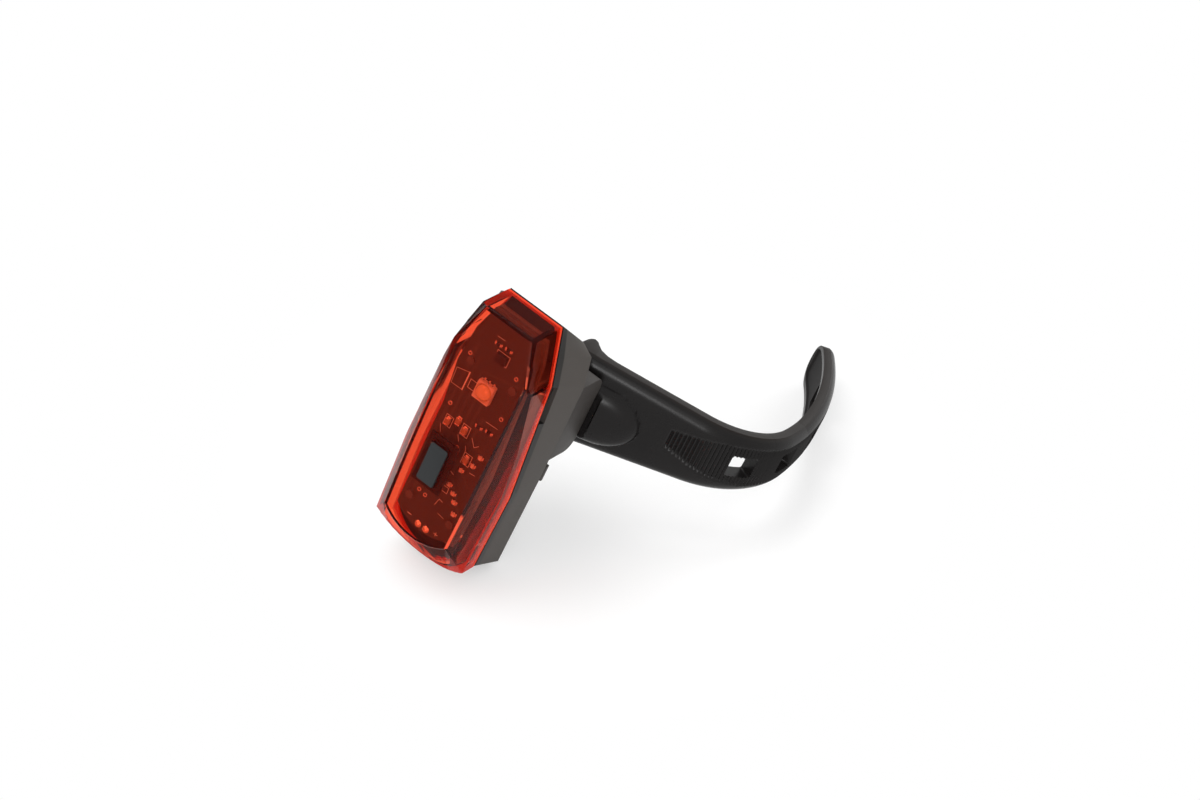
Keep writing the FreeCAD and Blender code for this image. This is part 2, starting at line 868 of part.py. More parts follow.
# The lamp's main light source and the small parts on the board.
led_half = size("led_width") / 2
led_x = size("led_across")
led_z = size("led_up")
led_face_y = board_y - size("led_height")
led_sides = (led_x - led_half, led_x + led_half)
keep("main_led", box("Main_led", led_sides, (led_face_y, board_y), (led_z - led_half, led_z + led_half)))
dome = cylinder(
    "Dome",
    "y",
    (led_x, led_face_y - size("led_dome_height"), led_z),
    size("led_dome_radius"),
    size("led_dome_height"),
)
dome_front = led_face_y.number - size("led_dome_height").number
keep(
    "led_dome",
    fillet("Led_dome", dome, size("led_dome_round"), lambda edge: abs(edge.BoundBox.YMax - dome_front) < 1e-6),
)


def chips(node, places, kind, hung=()):
    """Small flat parts that lie on the front of the board. The hung ones keep with its top end."""
    width = size(f"{kind}_width")
    height = size(f"{kind}_height")
    thickness = size(f"{kind}_thickness")
    top_z = foot_z + size("lamp_height")
    middles = [(length(x), length(z)) for x, z in places]
    middles += [(length(x), top_z - length(drop)) for x, drop in hung]
    blocks = [
        box(
            f"{node}_{number}",
            (x - width / 2, x + width / 2),
            (board_y - thickness, board_y),
            (z - height / 2, z + height / 2),
        )
        for number, (x, z) in enumerate(middles)
    ]
    keep(node, group(node + "_all", *blocks) if len(blocks) > 1 else blocks[0])


chips("chip_resistors", RESISTORS, "resistor", UPPER_RESISTORS)
chips("chip_capacitors", CAPACITORS, "capacitor")
chips("chip_diodes", DIODES, "diode")
chips("controller_chip", (), "controller", UPPER_CONTROLLER)

# The housing, and the T-shaped rail on its back.
housing_body = new_body("Housing")
lamp_loft(housing_body, "Housing_outside", "Additive", [(rim_y, seam), (rear_y, rear)])
cavity_y = rear_y - size("rear_wall")
cavity_share = (cavity_y - rim_y) / size("housing_depth")
cavity_end = inset(between(seam, rear, cavity_share), size("housing_wall"))
lamp_loft(
    housing_body,
    "Housing_inside",
    "Subtractive",
    [(rim_y, inset(seam, size("housing_wall"))), (cavity_y, cavity_end)],
)
bracket_foot_z = -size("bracket_drop")
channel_foot_z = bracket_foot_z + size("channel_floor")
rail_z = (channel_foot_z + size("slide_clearance"), channel_foot_z + size("rail_height"))
neck_half = size("channel_half_width") - size("slide_clearance")
rail_half = size("pocket_half_width") - size("slide_clearance")
lip_y = bracket_y + size("channel_lip")
pocket_y = lip_y + size("pocket_depth")
rail_neck = box("Rail_neck", (-neck_half, neck_half), (rear_y, pocket_y - size("slide_clearance")), rail_z)
rail_flange = box(
    "Rail_flange",
    (-rail_half, rail_half),
    (lip_y + size("slide_clearance"), pocket_y - size("slide_clearance")),
    rail_z,
)
keep("slide_rail", fuse("Slide_rail", rail_neck, rail_flange))
coin_slot_x = between(seam, rear, size("coin_slot_width") / size("housing_depth") / 2)[0][2][0]
coin_slot_z = foot_z + size("lamp_height") - size("coin_slot_drop")
coin_slot = box(
    "Coin_slot",
    (coin_slot_x - size("coin_slot_depth") / 2, size("rear_waist_half_width") + cut_over),
    (rim_y - cut_over, rim_y + size("coin_slot_width")),
    (coin_slot_z, coin_slot_z + size("coin_slot_length")),
)
keep("rear_housing", cut("Rear_housing", housing_body, coin_slot))

seal_thickness = size("seal_gap") - size("seal_clearance") * 2
seal_start = seam_y + size("seal_clearance")
seal_outside = lamp_plate("Seal_outside", seal_start, inset(seam, size("seal_inset")), seal_thickness)
seal_opening = inset(seam, size("seal_inset") + size("seal_width"))
seal_inside = lamp_plate("Seal_inside", seal_start - cut_over, seal_opening, seal_thickness + cut_over * 2)
keep("housing_seal", cut("Housing_seal", seal_outside, seal_inside))

# The bracket: a block with a channel for the rail, open at the top.
bracket_top_z = bracket_foot_z + size("bracket_height")
bracket_block = box(
    "Bracket_block",
    (-size("bracket_half_width"), size("bracket_half_width")),
    (bracket_y, saddle_y),
    (bracket_foot_z, bracket_top_z),
)
rounded_bracket = fillet(
    "Rounded_bracket",
    bracket_block,
    size("bracket_round"),
    lambda edge: runs_along(edge, "x") and abs(edge.Vertexes[0].Y - saddle_y.number) < 1e-6,
)
channel = box(
    "Channel",
    (-size("channel_half_width"), size("channel_half_width")),
    (bracket_y - cut_over, lip_y + size("join_over")),
    (channel_foot_z, bracket_top_z + cut_over),
)
pocket = box(
    "Pocket",
    (-size("pocket_half_width"), size("pocket_half_width")),
    (lip_y, pocket_y),
    (channel_foot_z, bracket_top_z + cut_over),
)
plate_face_y = floor_y + size("clamp_plate_thickness")
screw_hole_radius = size("screw_radius") + size("screw_clearance")
screw_end_y = plate_face_y - size("screw_reach")
screw_hole_end_y = screw_end_y - size("screw_end_gap")
screw_hole = cylinder(
    "Screw_hole", "y", (0, screw_hole_end_y, 0), screw_hole_radius, saddle_y + cut_over - screw_hole_end_y
)
hinge_y = bracket_y + size("latch_set_back")
hinge_z = bracket_foot_z + size("latch_lift")
notch_half = size("latch_half_width") + size("latch_side_gap")
notch_reach = size("latch_barrel_radius") + size("latch_notch_gap")
notch = box(
    "Latch_notch",
    (-notch_half, notch_half),
    (hinge_y - notch_reach, saddle_y + cut_over),
    (bracket_foot_z - cut_over, hinge_z + notch_reach),
)
pin_start_x = -size("latch_pin_half_length")
pin_hole = cylinder(
    "Latch_pin_hole",
    "x",
    (pin_start_x, hinge_y, hinge_z),
    size("latch_pin_radius"),
    size("latch_pin_half_length") * 2,
)
keep("bracket_plate", cut("Bracket_plate", rounded_bracket, channel, pocket, screw_hole, notch, pin_hole))
keep(
    "latch_pin",
    cylinder(
        "Latch_pin",
        "x",
        (pin_start_x, hinge_y, hinge_z),
        size("latch_pin_radius"),
        size("latch_pin_half_length") * 2,
    ),
)

# The release latch hangs from its pin under the bracket and ends in a wide thumb bar.
latch_x = (-size("latch_half_width"), size("latch_half_width"))
barrel = cylinder(
    "Latch_barrel",
    "x",
    (latch_x[0], hinge_y, hinge_z),
    size("latch_barrel_radius"),
    size("latch_half_width") * 2,
)
arm_top_z = bracket_foot_z - size("latch_arm_drop")
web_y = hinge_y - size("latch_barrel_radius")
web = box(
    "Latch_web",
    latch_x,
    (web_y, web_y + size("latch_web_thickness")),
    (arm_top_z - size("latch_arm_thickness"), hinge_z),
)
bar_y = (rear_y + size("latch_bar_gap"), rear_y + size("latch_bar_gap") + size("latch_bar_thickness"))
arm = box(
    "Latch_arm",
    latch_x,
    (bar_y[0], hinge_y),
    (arm_top_z - size("latch_arm_thickness"), arm_top_z),
)
bar_top_z = bracket_foot_z - size("latch_bar_drop")
bar = box(
    "Latch_bar",
    (-size("latch_bar_half_width"), size("latch_bar_half_width")),
    bar_y,
    (bar_top_z - size("latch_bar_height"), bar_top_z),
)
rounded_bar = fillet("Rounded_bar", bar, size("latch_bar_round"), lambda edge: not runs_along(edge, "y"))
latch_bore = cylinder(
    "Latch_bore",
    "x",
    (latch_x[0] - cut_over, hinge_y, hinge_z),
    size("latch_pin_radius") + size("latch_pin_clearance"),
    (size("latch_half_width") + cut_over) * 2,
)
keep("release_latch", cut("Release_latch", fuse("Latch_solid", barrel, web, arm, rounded_bar), latch_bore))

# The clamp plate and the screw hold the rubber saddle against the bracket.
plate_half = size("rib_gap") / 2 - size("clamp_plate_side_gap")
plate_half_height = size("clamp_plate_height") / 2
plate_block = box(
    "Plate_block", (-plate_half, plate_half), (floor_y, plate_face_y), (-plate_half_height, plate_half_height)
)
plate_hole_length = size("clamp_plate_thickness") + cut_over * 2
plate_hole = cylinder("Plate_hole", "y", (0, floor_y - cut_over, 0), screw_hole_radius, plate_hole_length)
keep("clamp_plate", cut("Clamp_plate", plate_block, plate_hole))
shank_length = size("screw_reach") + size("join_over")
shank = cylinder("Shank", "y", (0, screw_end_y, 0), size("screw_radius"), shank_length)
head = cylinder("Head", "y", (0, plate_face_y, 0), size("screw_head_radius"), size("screw_head_height"))
cross_half = size("screw_cross_width") / 2
cross_reach = size("screw_cross_length") / 2
head_top_y = plate_face_y + size("screw_head_height")
cross_y = (head_top_y - size("screw_cross_depth"), head_top_y + cut_over)
cross_flat = box("Cross_flat", (-cross_reach, cross_reach), cross_y, (-cross_half, cross_half))
cross_upright = box("Cross_upright", (-cross_half, cross_half), cross_y, (-cross_reach, cross_reach))
keep("bracket_screw", cut("Bracket_screw", fuse("Screw_solid", shank, head), cross_flat, cross_upright))

# The strap's outer face: flat behind the bracket, then straight, a bend, and a long curve to the end.
slope = size("strap_angle")
root_x = size("saddle_flat")
thickness = size("strap_thickness")


def on_straight(distance, depth):
    """A point on the straight part of the strap, at a depth below its outer face."""
    x = root_x + distance * slope.cosine() - depth * slope.sine()
    y = saddle_y + distance * slope.sine() + depth * slope.cosine()
    return x, y


def on_bend(turn, depth):
    """A point on the bend, where turn is the strap's direction in degrees."""
    start_x, start_y = on_straight(size("strap_straight"), length(0))
    reach = size("bend_radius") - depth
    x = start_x - size("bend_radius") * slope.sine() + reach * turn.sine()
    y = start_y + size("bend_radius") * slope.cosine() - reach * turn.cosine()
    return x, y


def on_end(distance, depth):
    """A point on the long curve after the bend."""
    start_x, start_y = on_bend(length(90), length(0))
    turn = (distance / size("end_radius")).in_degrees()
    reach = size("end_radius") - depth
    x = start_x - size("end_radius") + reach * turn.cosine()
    y = start_y + reach * turn.sine()
    return x, y


def on_wing(distance, depth):
    """A point on the short left wing, the mirror image of the straight part."""
    x, y = on_straight(distance, depth)
    return -x, y


def corner(point, radius=None):
    return point[0], point[1], radius


outer = length(0)
split = size("strap_split") / 2
straight_end = size("strap_straight")
joint_1 = size("first_joint")
joint_2 = size("second_joint")
wing = size("saddle_wing")
rib_foot = size("rib_foot")
rib_x = size("rib_gap") / 2
chamfer_y = crest_y - size("rib_chamfer")
bend_start = on_straight(straight_end, outer)
saddle_path = [
    corner(on_wing(wing, outer)),
    (-root_x, saddle_y, None),
    (root_x, saddle_y, None),
    corner(on_straight(joint_1 - split, outer)),
    corner(on_straight(joint_1 - split, thickness)),
    corner(on_straight(rib_foot, thickness)),
    (rib_crest_x, crest_y, None),
    (rib_x, chamfer_y, None),
    (rib_x, floor_y, None),
    (-rib_x, floor_y, None),
    (-rib_x, chamfer_y, None),
    (-rib_crest_x, crest_y, None),
    corner(on_wing(rib_foot, thickness)),
    corner(on_wing(wing, thickness)),
]
full_height = size("strap_half_width") * 2
saddle_slab = slab("Saddle_slab", "XY_Plane", saddle_path, full_height)
wing_end_x = on_wing(wing, thickness)[0]
side_half_widths = [
    (wing_end_x - thickness, size("saddle_wing_half_width")),
    (-root_x, size("saddle_left_half_width")),
    (rib_x, size("strap_half_width")),
    (root_x, size("strap_half_width")),
    (bend_start[0], size("strap_bend_half_width")),
    (bend_start[0] + size("bend_radius"), size("strap_bend_half_width")),
]
side_path = [(x, -half, None) for x, half in side_half_widths]
side_path += [(x, half, None) for x, half in reversed(side_half_widths)]
side_view = slab("Side_view", "XZ_Plane", side_path, size("end_radius") * 2)
bulge = doc.addObject("Part::Ellipsoid", "Bulge_ball")
bulge_depth = size("bulge_rise") + thickness / 2
bind(bulge, Radius1=size("bulge_height"), Radius2=size("bulge_length"), Radius3=bulge_depth)
bulge.Placement = FreeCAD.Placement(FreeCAD.Vector(0, 0, 0), FreeCAD.Rotation(FreeCAD.Vector(0, 0, 1), 1))
bulge.setExpression("Placement.Rotation.Angle", slope.text)
bulge_x, bulge_y = on_straight(size("bulge_along"), thickness / 2)
place(bulge, bulge_x, bulge_y, -size("bulge_drop"))
gap_half = size("bracket_half_width") + size("bulge_gap")
bulge_clear = box(
    "Bulge_clear",
    (-gap_half, gap_half),
    (bracket_y - cut_over, saddle_y),
    (bracket_foot_z - thickness, bracket_top_z + thickness),
)
behind_x, behind_y = on_straight(-size("bulge_length"), size("bulge_back_depth"))
bulge_back = slanted_box(
    "Bulge_back",
    (behind_x, behind_y),
    slope,
    (size("bulge_length") + size("bulge_along")) * 2,
    size("bend_radius"),
    (-size("strap_half_width"), size("strap_half_width")),
)
bulge_front = cut("Bulge_front", bulge, bulge_clear, bulge_back)
saddle_hole_length = size("saddle_thickness") + cut_over * 2
saddle_hole = cylinder("Saddle_hole", "y", (0, saddle_y - cut_over, 0), screw_hole_radius, saddle_hole_length)
saddle_solid = cut("Saddle_solid", fuse("Saddle_and_bulge", saddle_slab, bulge_front), saddle_hole)
keep("strap_saddle", common("Strap_saddle", saddle_solid, side_view))


def across_strap(name, point, turn, back):
    """A slot through the strap, centred on a point of its outer face, at a direction in degrees."""
    half = size("slot_length") / 2
    x = point[0] - half * turn.cosine() + back * turn.sine()
    y = point[1] - half * turn.sine() - back * turn.cosine()
    z = size("slot_height") / 2
    return slanted_box(name, (x, y), turn, size("slot_length"), back * 2 + thickness, (-z, z))


slot_back = size("slot_cut_margin")
first_turn = slope + (size("first_slot_distance") / size("bend_radius")).in_degrees()
second_along = size("first_slot_distance") + size("slot_pitch")
bend_turn = length(90) - slope
second_past = second_along - bend_turn * size("bend_radius") * math.pi / 180
second_turn = length(90) + (second_past / size("end_radius")).in_degrees()
slots = [
    across_strap("Slot_1", on_bend(first_turn, outer), first_turn, slot_back),
    across_strap("Slot_2", on_end(second_past, outer), second_turn, slot_back),
]
bend_r = size("bend_radius")
end_r = size("end_radius")
upright = length(90)
mid_path = [
    corner(on_straight(joint_1 + split, outer)),
    corner(bend_start, bend_r),
    corner(on_bend(upright, outer), end_r),
    corner(on_end(joint_2 - split, outer)),
    corner(on_end(joint_2 - split, thickness), -(end_r - thickness)),
    corner(on_bend(upright, thickness), -(bend_r - thickness)),
    corner(on_straight(straight_end, thickness)),
    corner(on_straight(joint_1 + split, thickness)),
]
mid_slab = slab("Mid_slab", "XY_Plane", mid_path, full_height)
bend_end_y = on_bend(upright, outer)[1]
taper_end_y = bend_end_y + size("taper_reach")
back_half_widths = [
    (saddle_y, size("strap_half_width")),
    (bend_start[1], size("strap_bend_half_width")),
    (taper_end_y, size("strap_end_half_width")),
    (bend_end_y + end_r, size("strap_end_half_width")),
]
back_path = [(y, -half, None) for y, half in back_half_widths]
back_path += [(y, half, None) for y, half in reversed(back_half_widths)]
back_view = slab("Back_view", "YZ_Plane", back_path, end_r * 2)
keep("strap_mid", common("Strap_mid", cut("Mid_with_slots", mid_slab, *slots), side_view, back_view))

end_length = size("end_turn") * end_r * math.pi / 180
tail_path = [
    corner(on_end(joint_2 + split, outer), end_r),
    corner(on_end(end_length, outer)),
    corner(on_end(end_length, thickness), -(end_r - thickness)),
    corner(on_end(joint_2 + split, thickness)),
]
tail_slab = slab("Tail_slab", "XY_Plane", tail_path, full_height)
tail_slots = []
for number, name in enumerate(("third_slot_distance", "fourth_slot_distance"), start=3):
    turn = upright + (size(name) / end_r).in_degrees()
    tail_slots.append(across_strap(f"Slot_{number}", on_end(size(name), outer), turn, slot_back))
tail_solid = common("Tail_solid", cut("Tail_with_slots", tail_slab, *tail_slots), back_view)
tip_y = on_end(end_length - size("end_corner"), thickness)[1].number
end_half = size("strap_end_half_width").number


def at_tip_corner(edge):
    """True for the two short edges where the strap's end meets its sides."""
    heights = [abs(abs(vertex.Z) - end_half) < 1e-4 for vertex in edge.Vertexes]
    past = [vertex.Y > tip_y for vertex in edge.Vertexes]
    return all(heights) and all(past) and abs(edge.Length - thickness.number) < 1e-3


keep("strap_tail", fillet("Strap_tail", tail_solid, size("end_corner"), at_tip_corner))

# The hook on the left wing, which takes one of the strap's slots.
hook_start = size("hook_plate_start")
hook_end = hook_start + size("hook_plate_length")
hook_angle = length(180) - slope
hook_z = (size("hook_top") - size("hook_plate_height"), size("hook_top"))
hook_middle = size("hook_top") - size("hook_plate_height") / 2
neck_z = (hook_middle - size("hook_width") / 2, hook_middle + size("hook_width") / 2)
plate_depth = size("hook_plate_thickness")
lip_depth = plate_depth + size("hook_reach") - size("hook_lip_thickness")
lip_start = hook_end - size("hook_neck")
hook_plate = slanted_box(
    "Hook_plate",
    on_wing(hook_start, outer),
    hook_angle,
    size("hook_plate_length"),
    plate_depth,
    hook_z,
)
hook_neck = slanted_box(
    "Hook_neck",
    on_wing(lip_start, -(plate_depth / 2)),
    hook_angle,
    size("hook_neck"),
    size("hook_reach") + plate_depth / 2,
    neck_z,
)
hook_lip = slanted_box(
    "Hook_lip",
    on_wing(lip_start, -lip_depth),
    hook_angle,
    size("hook_neck") + size("hook_lip"),
    size("hook_lip_thickness"),
    neck_z,
)
keep("strap_hook", fuse("Strap_hook", hook_plate, hook_neck, hook_lip))

doc.recompute()
for thing in doc.Objects:
    state = set(thing.State)
    if state & {"Invalid", "Error"}:
        raise RuntimeError(f"{thing.Name} did not compute: {state}")
os.makedirs("parts", exist_ok=True)
for node, piece in nodes.items():
    shape = piece.Shape
    if shape.isNull() or not shape.isValid():
        raise RuntimeError(f"{node} has no valid shape")
    shape.exportStep(f"parts/{node}.step")
    print(node, len(shape.Solids), round(shape.Volume, 2))
print(len(nodes), "nodes")
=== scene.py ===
import math
import bpy
import bmesh
from mathutils import Matrix, Vector


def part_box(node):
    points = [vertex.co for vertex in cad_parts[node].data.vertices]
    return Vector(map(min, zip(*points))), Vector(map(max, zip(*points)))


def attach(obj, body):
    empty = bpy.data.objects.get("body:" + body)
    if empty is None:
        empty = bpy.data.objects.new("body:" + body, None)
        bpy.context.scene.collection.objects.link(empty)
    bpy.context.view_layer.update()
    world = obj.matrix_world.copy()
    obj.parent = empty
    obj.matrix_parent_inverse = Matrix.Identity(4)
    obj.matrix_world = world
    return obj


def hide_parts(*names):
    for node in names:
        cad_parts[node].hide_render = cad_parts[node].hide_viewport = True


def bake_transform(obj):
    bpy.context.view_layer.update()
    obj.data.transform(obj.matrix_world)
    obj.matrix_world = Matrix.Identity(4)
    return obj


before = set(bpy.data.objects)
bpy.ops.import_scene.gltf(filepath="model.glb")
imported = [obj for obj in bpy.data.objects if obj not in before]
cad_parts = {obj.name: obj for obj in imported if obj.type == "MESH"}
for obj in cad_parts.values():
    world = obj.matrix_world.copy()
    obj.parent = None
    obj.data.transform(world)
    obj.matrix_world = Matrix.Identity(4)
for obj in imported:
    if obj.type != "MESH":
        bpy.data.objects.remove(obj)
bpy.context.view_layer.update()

# Bicycle tail light on its rubber strap. Sizes are in millimetres here and turned to metres by mm.
mm = 0.001


def clearSelection():
    if bpy.context.object and bpy.context.object.mode != "OBJECT":
        bpy.ops.object.mode_set(mode="OBJECT")
    bpy.ops.object.select_all(action="DESELECT")


def choose(piece):
    clearSelection()
    piece.select_set(True)
    bpy.context.view_layer.objects.active = piece


def applyAll(piece):
    choose(piece)
    for modifier in list(piece.modifiers):
        bpy.ops.object.modifier_apply(modifier=modifier.name)


def smoothBy(piece, degrees):
    choose(piece)
    bpy.ops.object.shade_smooth_by_angle(angle=math.radians(degrees))


def bevelEdges(piece, width, segments=2, degrees=30):
    bevel = piece.modifiers.new("Bevel", "BEVEL")
    bevel.width = width * mm
    bevel.segments = segments
    bevel.limit_method = "ANGLE"
    bevel.angle_limit = math.radians(degrees)
    bevel.use_clamp_overlap = True
    applyAll(piece)


def settle(piece):
    # the place goes into the mesh, so the object sits at the origin
    choose(piece)
    bpy.ops.object.transform_apply(location=True, rotation=True, scale=True)


def finishPiece(piece, body, material, slotName, *nodes):
    settle(piece)
    piece.data.materials.clear()
    piece.data.materials.append(material)
    if nodes:
        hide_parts(*nodes)
    if body:
        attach(piece, body)
    return piece


cleanUp = {"weld": 0.004, "flat": 0.6}  # mm between vertices and degrees between faces that are joined


def tidyCopy(node, name, width, segments=2, degrees=30):
    # a copy of a CAD solid with its loose triangles joined up and its edges softened
    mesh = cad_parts[node].data.copy()
    mesh.name = name
    piece = bpy.data.objects.new(name, mesh)
    bpy.context.scene.collection.objects.link(piece)
    choose(piece)
    bpy.ops.object.mode_set(mode="EDIT")
    bpy.ops.mesh.select_all(action="SELECT")
    bpy.ops.mesh.remove_doubles(threshold=cleanUp["weld"] * mm)
    bpy.ops.mesh.dissolve_limited(angle_limit=math.radians(cleanUp["flat"]))
    bpy.ops.object.mode_set(mode="OBJECT")
    bevelEdges(piece, width, segments, degrees)
    smoothBy(piece, degrees)
    return piece


def softenSolid(node, name, body, material, slotName, *rounding):
    # rounding is its width and, where they matter, its segments and the angle of edges that get it
    return finishPiece(tidyCopy(node, name, *rounding), body, material, slotName, node)


def combine(piece, operation, *others):
    for other in others:
        boolean = piece.modifiers.new("Combine", "BOOLEAN")
        boolean.operation = operation
        boolean.solver = "EXACT"
        boolean.object = other
        applyAll(piece)
        bpy.data.objects.remove(other, do_unlink=True)


def roundedBlock(name, centre, dimensions, radius, segments=3):
    clearSelection()
    bpy.ops.mesh.primitive_cube_add(size=1, location=[value * mm for value in centre])
    piece = bpy.context.object
    piece.name = name
    piece.scale = [value * mm for value in dimensions]
    settle(piece)
    if radius:
        bevelEdges(piece, radius, segments)
    return piece


def mix(first, second, share):
    return first + (second - first) * share


def alongTable(value, table):
    # straight-line steps between pairs of numbers
    if value <= table[0][0]:
        return table[0][1]
    for (x0, y0), (x1, y1) in zip(table, table[1:]):
        if value <= x1:
            return mix(y0, y1, (value - x0) / (x1 - x0))
    return table[-1][1]


class Maths:
    # a socket that adds Math nodes when it is used in a sum
    def __init__(self, finish, socket):
        self.finish = finish
        self.socket = socket

    def work(self, operation, *values):
        return self.finish.add("ShaderNodeMath", {"operation": operation}, dict(enumerate(values)))

    def __add__(self, other):
        return self.work("ADD", self, other)

    def __radd__(self, other):
        return self.work("ADD", other, self)

    def __sub__(self, other):
        return self.work("SUBTRACT", self, other)

    def __rsub__(self, other):
        return self.work("SUBTRACT", other, self)

    def __mul__(self, other):
        return self.work("MULTIPLY", self, other)

    def __truediv__(self, other):
        return self.work("DIVIDE", self, other)

    def size(self):
        return self.work("ABSOLUTE", self)

    def below(self, limit):
        return self.work("LESS_THAN", self, limit)

    def above(self, limit):
        return self.work("GREATER_THAN", self, limit)

    def most(self, other):
        return self.work("MAXIMUM", self, other)


class Finish:
    # one material, with a Principled shader that its maker fills in
    def __init__(self, name):
        self.material = bpy.data.materials.new(name)
        self.material.use_nodes = True
        self.tree = self.material.node_tree
        self.shader = self.tree.nodes["Principled BSDF"]
        self.output = self.tree.nodes["Material Output"]

    def add(self, kind, settings=None, inputs=None, output=0):
        # any other node, wrapped at the output that is wanted
        node = self.tree.nodes.new(kind)
        for key, value in (settings or {}).items():
            setattr(node, key, value)
        for key, value in (inputs or {}).items():
            self.connect(node.inputs[key], value)
        return Maths(self, node.outputs[output])

    def connect(self, socket, value):
        if isinstance(value, Maths):
            self.tree.links.new(value.socket, socket)
        elif isinstance(value, (tuple, list)) and len(value) == 3 and socket.type == "RGBA":
            socket.default_value = (*value, 1)
        else:
            socket.default_value = value

    def set(self, **values):
        for key, value in values.items():
            self.connect(self.shader.inputs[key.replace("_", " ")], value)

    def place(self):
        return self.add("ShaderNodeTexCoord", output="Object")

    def axis(self, letter):
        # one coordinate of the place, in mm
        return self.add("ShaderNodeSeparateXYZ", {}, {0: self.place()}, letter) * 1000

    def noise(self, perMm, detail=3.0, roughness=0.55, stretch=None):
        place = self.place()
        if stretch:
            place = self.add("ShaderNodeMapping", {}, {"Vector": place, "Scale": stretch})
        inputs = {"Vector": place, "Scale": perMm * 1000, "Detail": detail, "Roughness": roughness}
        return self.add("ShaderNodeTexNoise", {}, inputs)

    def clamp(self, value):
        return self.add("ShaderNodeClamp", {}, {"Value": value})

    def ray(self, *kinds):
        # 1 for rays of any of these kinds
        shares = [self.add("ShaderNodeLightPath", output=f"Is {kind} Ray") for kind in kinds]
        either = shares.pop()
        for share in shares:
            either = either.most(share)
        return either

    def blendColour(self, share, first, second):
        return self.add("ShaderNodeMix", {"data_type": "RGBA"}, {0: share, 6: first, 7: second}, 2)

    def blendShader(self, share, first, second):
        return self.add("ShaderNodeMixShader", {}, {0: share, 1: first, 2: second})

    def bump(self, height, strength, distance):
        inputs = {"Strength": strength, "Distance": distance * mm, "Height": height}
        return self.add("ShaderNodeBump", {}, inputs)


def plasticFinish(name, colour, roughness, grainPerMm, grainDepth, wear, coat=0.0):
    finish = Finish(name)
    cloud = finish.noise(0.06, 4.0)
    grain = finish.noise(grainPerMm, 2.0)
    lighter = [min(1.0, value * (1 + wear * 8) + wear * 0.1) for value in colour]
    finish.set(
        Base_Color=finish.blendColour(cloud, colour, lighter),
        Roughness=roughness - 0.08 + cloud * 0.16,
        Normal=finish.bump(grain, 0.5, grainDepth),
        Coat_Weight=coat,
        Coat_Roughness=0.2,
        Specular_IOR_Level=0.3,
    )
    return finish.material


paintedSeamShade = {
    "front": -37.3,  # in front of this the housing is smoother and darkened: painted shade of the gap beside the lens
    "soft": 0.25,
    "shade": 0.22,
}


def housingFinish(name, colour):
    # moulded plastic, fine matt on the sides and smoother on the step beside the lens, where its colour
    # is darkened as painted shade of the gap there
    finish = Finish(name)
    band = finish.clamp((paintedSeamShade["front"] - finish.axis("Y")) / paintedSeamShade["soft"])
    cloud = finish.noise(0.06, 4.0)
    grain = finish.noise(7.0, 2.0)
    rub = finish.clamp((finish.noise(0.9, 6.0, 0.7) - 0.60) * 5.0)
    lighter = [value * 1.35 for value in colour]
    worn = [value * 1.9 for value in colour]
    matt = finish.blendColour(rub * 0.35, finish.blendColour(cloud, colour, lighter), worn)
    # the step's darker colour is painted shade of the gap at the lens's seam
    paintedShadeColour = [value * paintedSeamShade["shade"] for value in colour]
    finish.set(
        Base_Color=finish.blendColour(band, matt, paintedShadeColour),
        Roughness=0.48 + cloud * 0.14 - band * 0.15,
        Normal=finish.bump(grain * (1.0 - band * 0.7), 0.5, 0.03),
        Specular_IOR_Level=0.3,
    )
    return finish.material


def rubberFinish(name):
    # the strap's meshes carry two attributes: 1 on its side faces, and 1 in the recess behind its tail;
    # the side faces get a lighter, warmer brown, which is painted warm light along the strap's edges
    finish = Finish(name)
    side = finish.add("ShaderNodeAttribute", {"attribute_name": "side"}, {}, 2)
    recess = finish.add("ShaderNodeAttribute", {"attribute_name": "recess"}, {}, 2)
    cloud = finish.noise(0.12, 5.0, 0.6)
    grain = finish.noise(9.0, 2.0)
    speck = finish.clamp((finish.noise(1.2, 6.0, 0.7) - 0.62) * 6.0)
    face = finish.blendColour(cloud, (0.0056, 0.0050, 0.0050), (0.0094, 0.0082, 0.0080))
    # lighter brown on the side faces: painted warm light along the edges
    base = finish.blendColour(side, face, (0.0100, 0.0072, 0.0058))
    finish.set(
        Base_Color=finish.blendColour(speck * 0.2, base, (0.05, 0.046, 0.042)),
        Roughness=0.22 + cloud * 0.10 + side * 0.16 + recess * 0.45,
        Normal=finish.bump(grain + cloud * 0.6, 0.3, 0.015),
        Specular_IOR_Level=0.16,
    )
    return finish.material


def metalFinish(name, colour, roughness, scratchPerMm=3.0):
    finish = Finish(name)
    brushed = finish.noise(scratchPerMm, 3.0, 0.6, (1.0, 0.08, 1.0))
    finish.set(
        Base_Color=finish.blendColour(brushed, [value * 0.8 for value in colour], colour),
        Metallic=1.0,
        Roughness=roughness - 0.08 + brushed * 0.16,
        Normal=finish.bump(brushed, 0.3, 0.01),
    )
    return finish.material


cellLook = {
    "sleeve": (0.14, 0.14, 0.15),
    "band": (0.08, 0.08, 0.085),
    "bandLength": 9.0,
    "metal": (0.70, 0.69, 0.66),
    "nub": 1.8,  # bare metal at the plus end
    "base": 0.5,  # bare metal at the minus end
}


def cellFinish(name, node, plusUp):
    # dark sleeve with a darker band at the plus end and bare metal at both ends
    finish = Finish(name)
    low, high = [corner[2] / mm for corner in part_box(node)]
    height = finish.axis("Z")
    if plusUp:
        band = height.above(high - cellLook["bandLength"])
        bare = height.below(low + cellLook["base"]).most(height.above(high - cellLook["nub"]))
    else:
        band = height.below(low + cellLook["bandLength"])
        bare = height.above(high - cellLook["base"]).most(height.below(low + cellLook["nub"]))
    cloud = finish.noise(0.4, 3.0)
    sleeve = finish.blendColour(band, cellLook["sleeve"], cellLook["band"])
    finish.set(
        Base_Color=finish.blendColour(bare, sleeve, cellLook["metal"]),
        Metallic=bare * 0.9,
        Roughness=0.24 + cloud * 0.12,
        Normal=finish.bump(cloud, 0.2, 0.02),
    )
    return finish.material


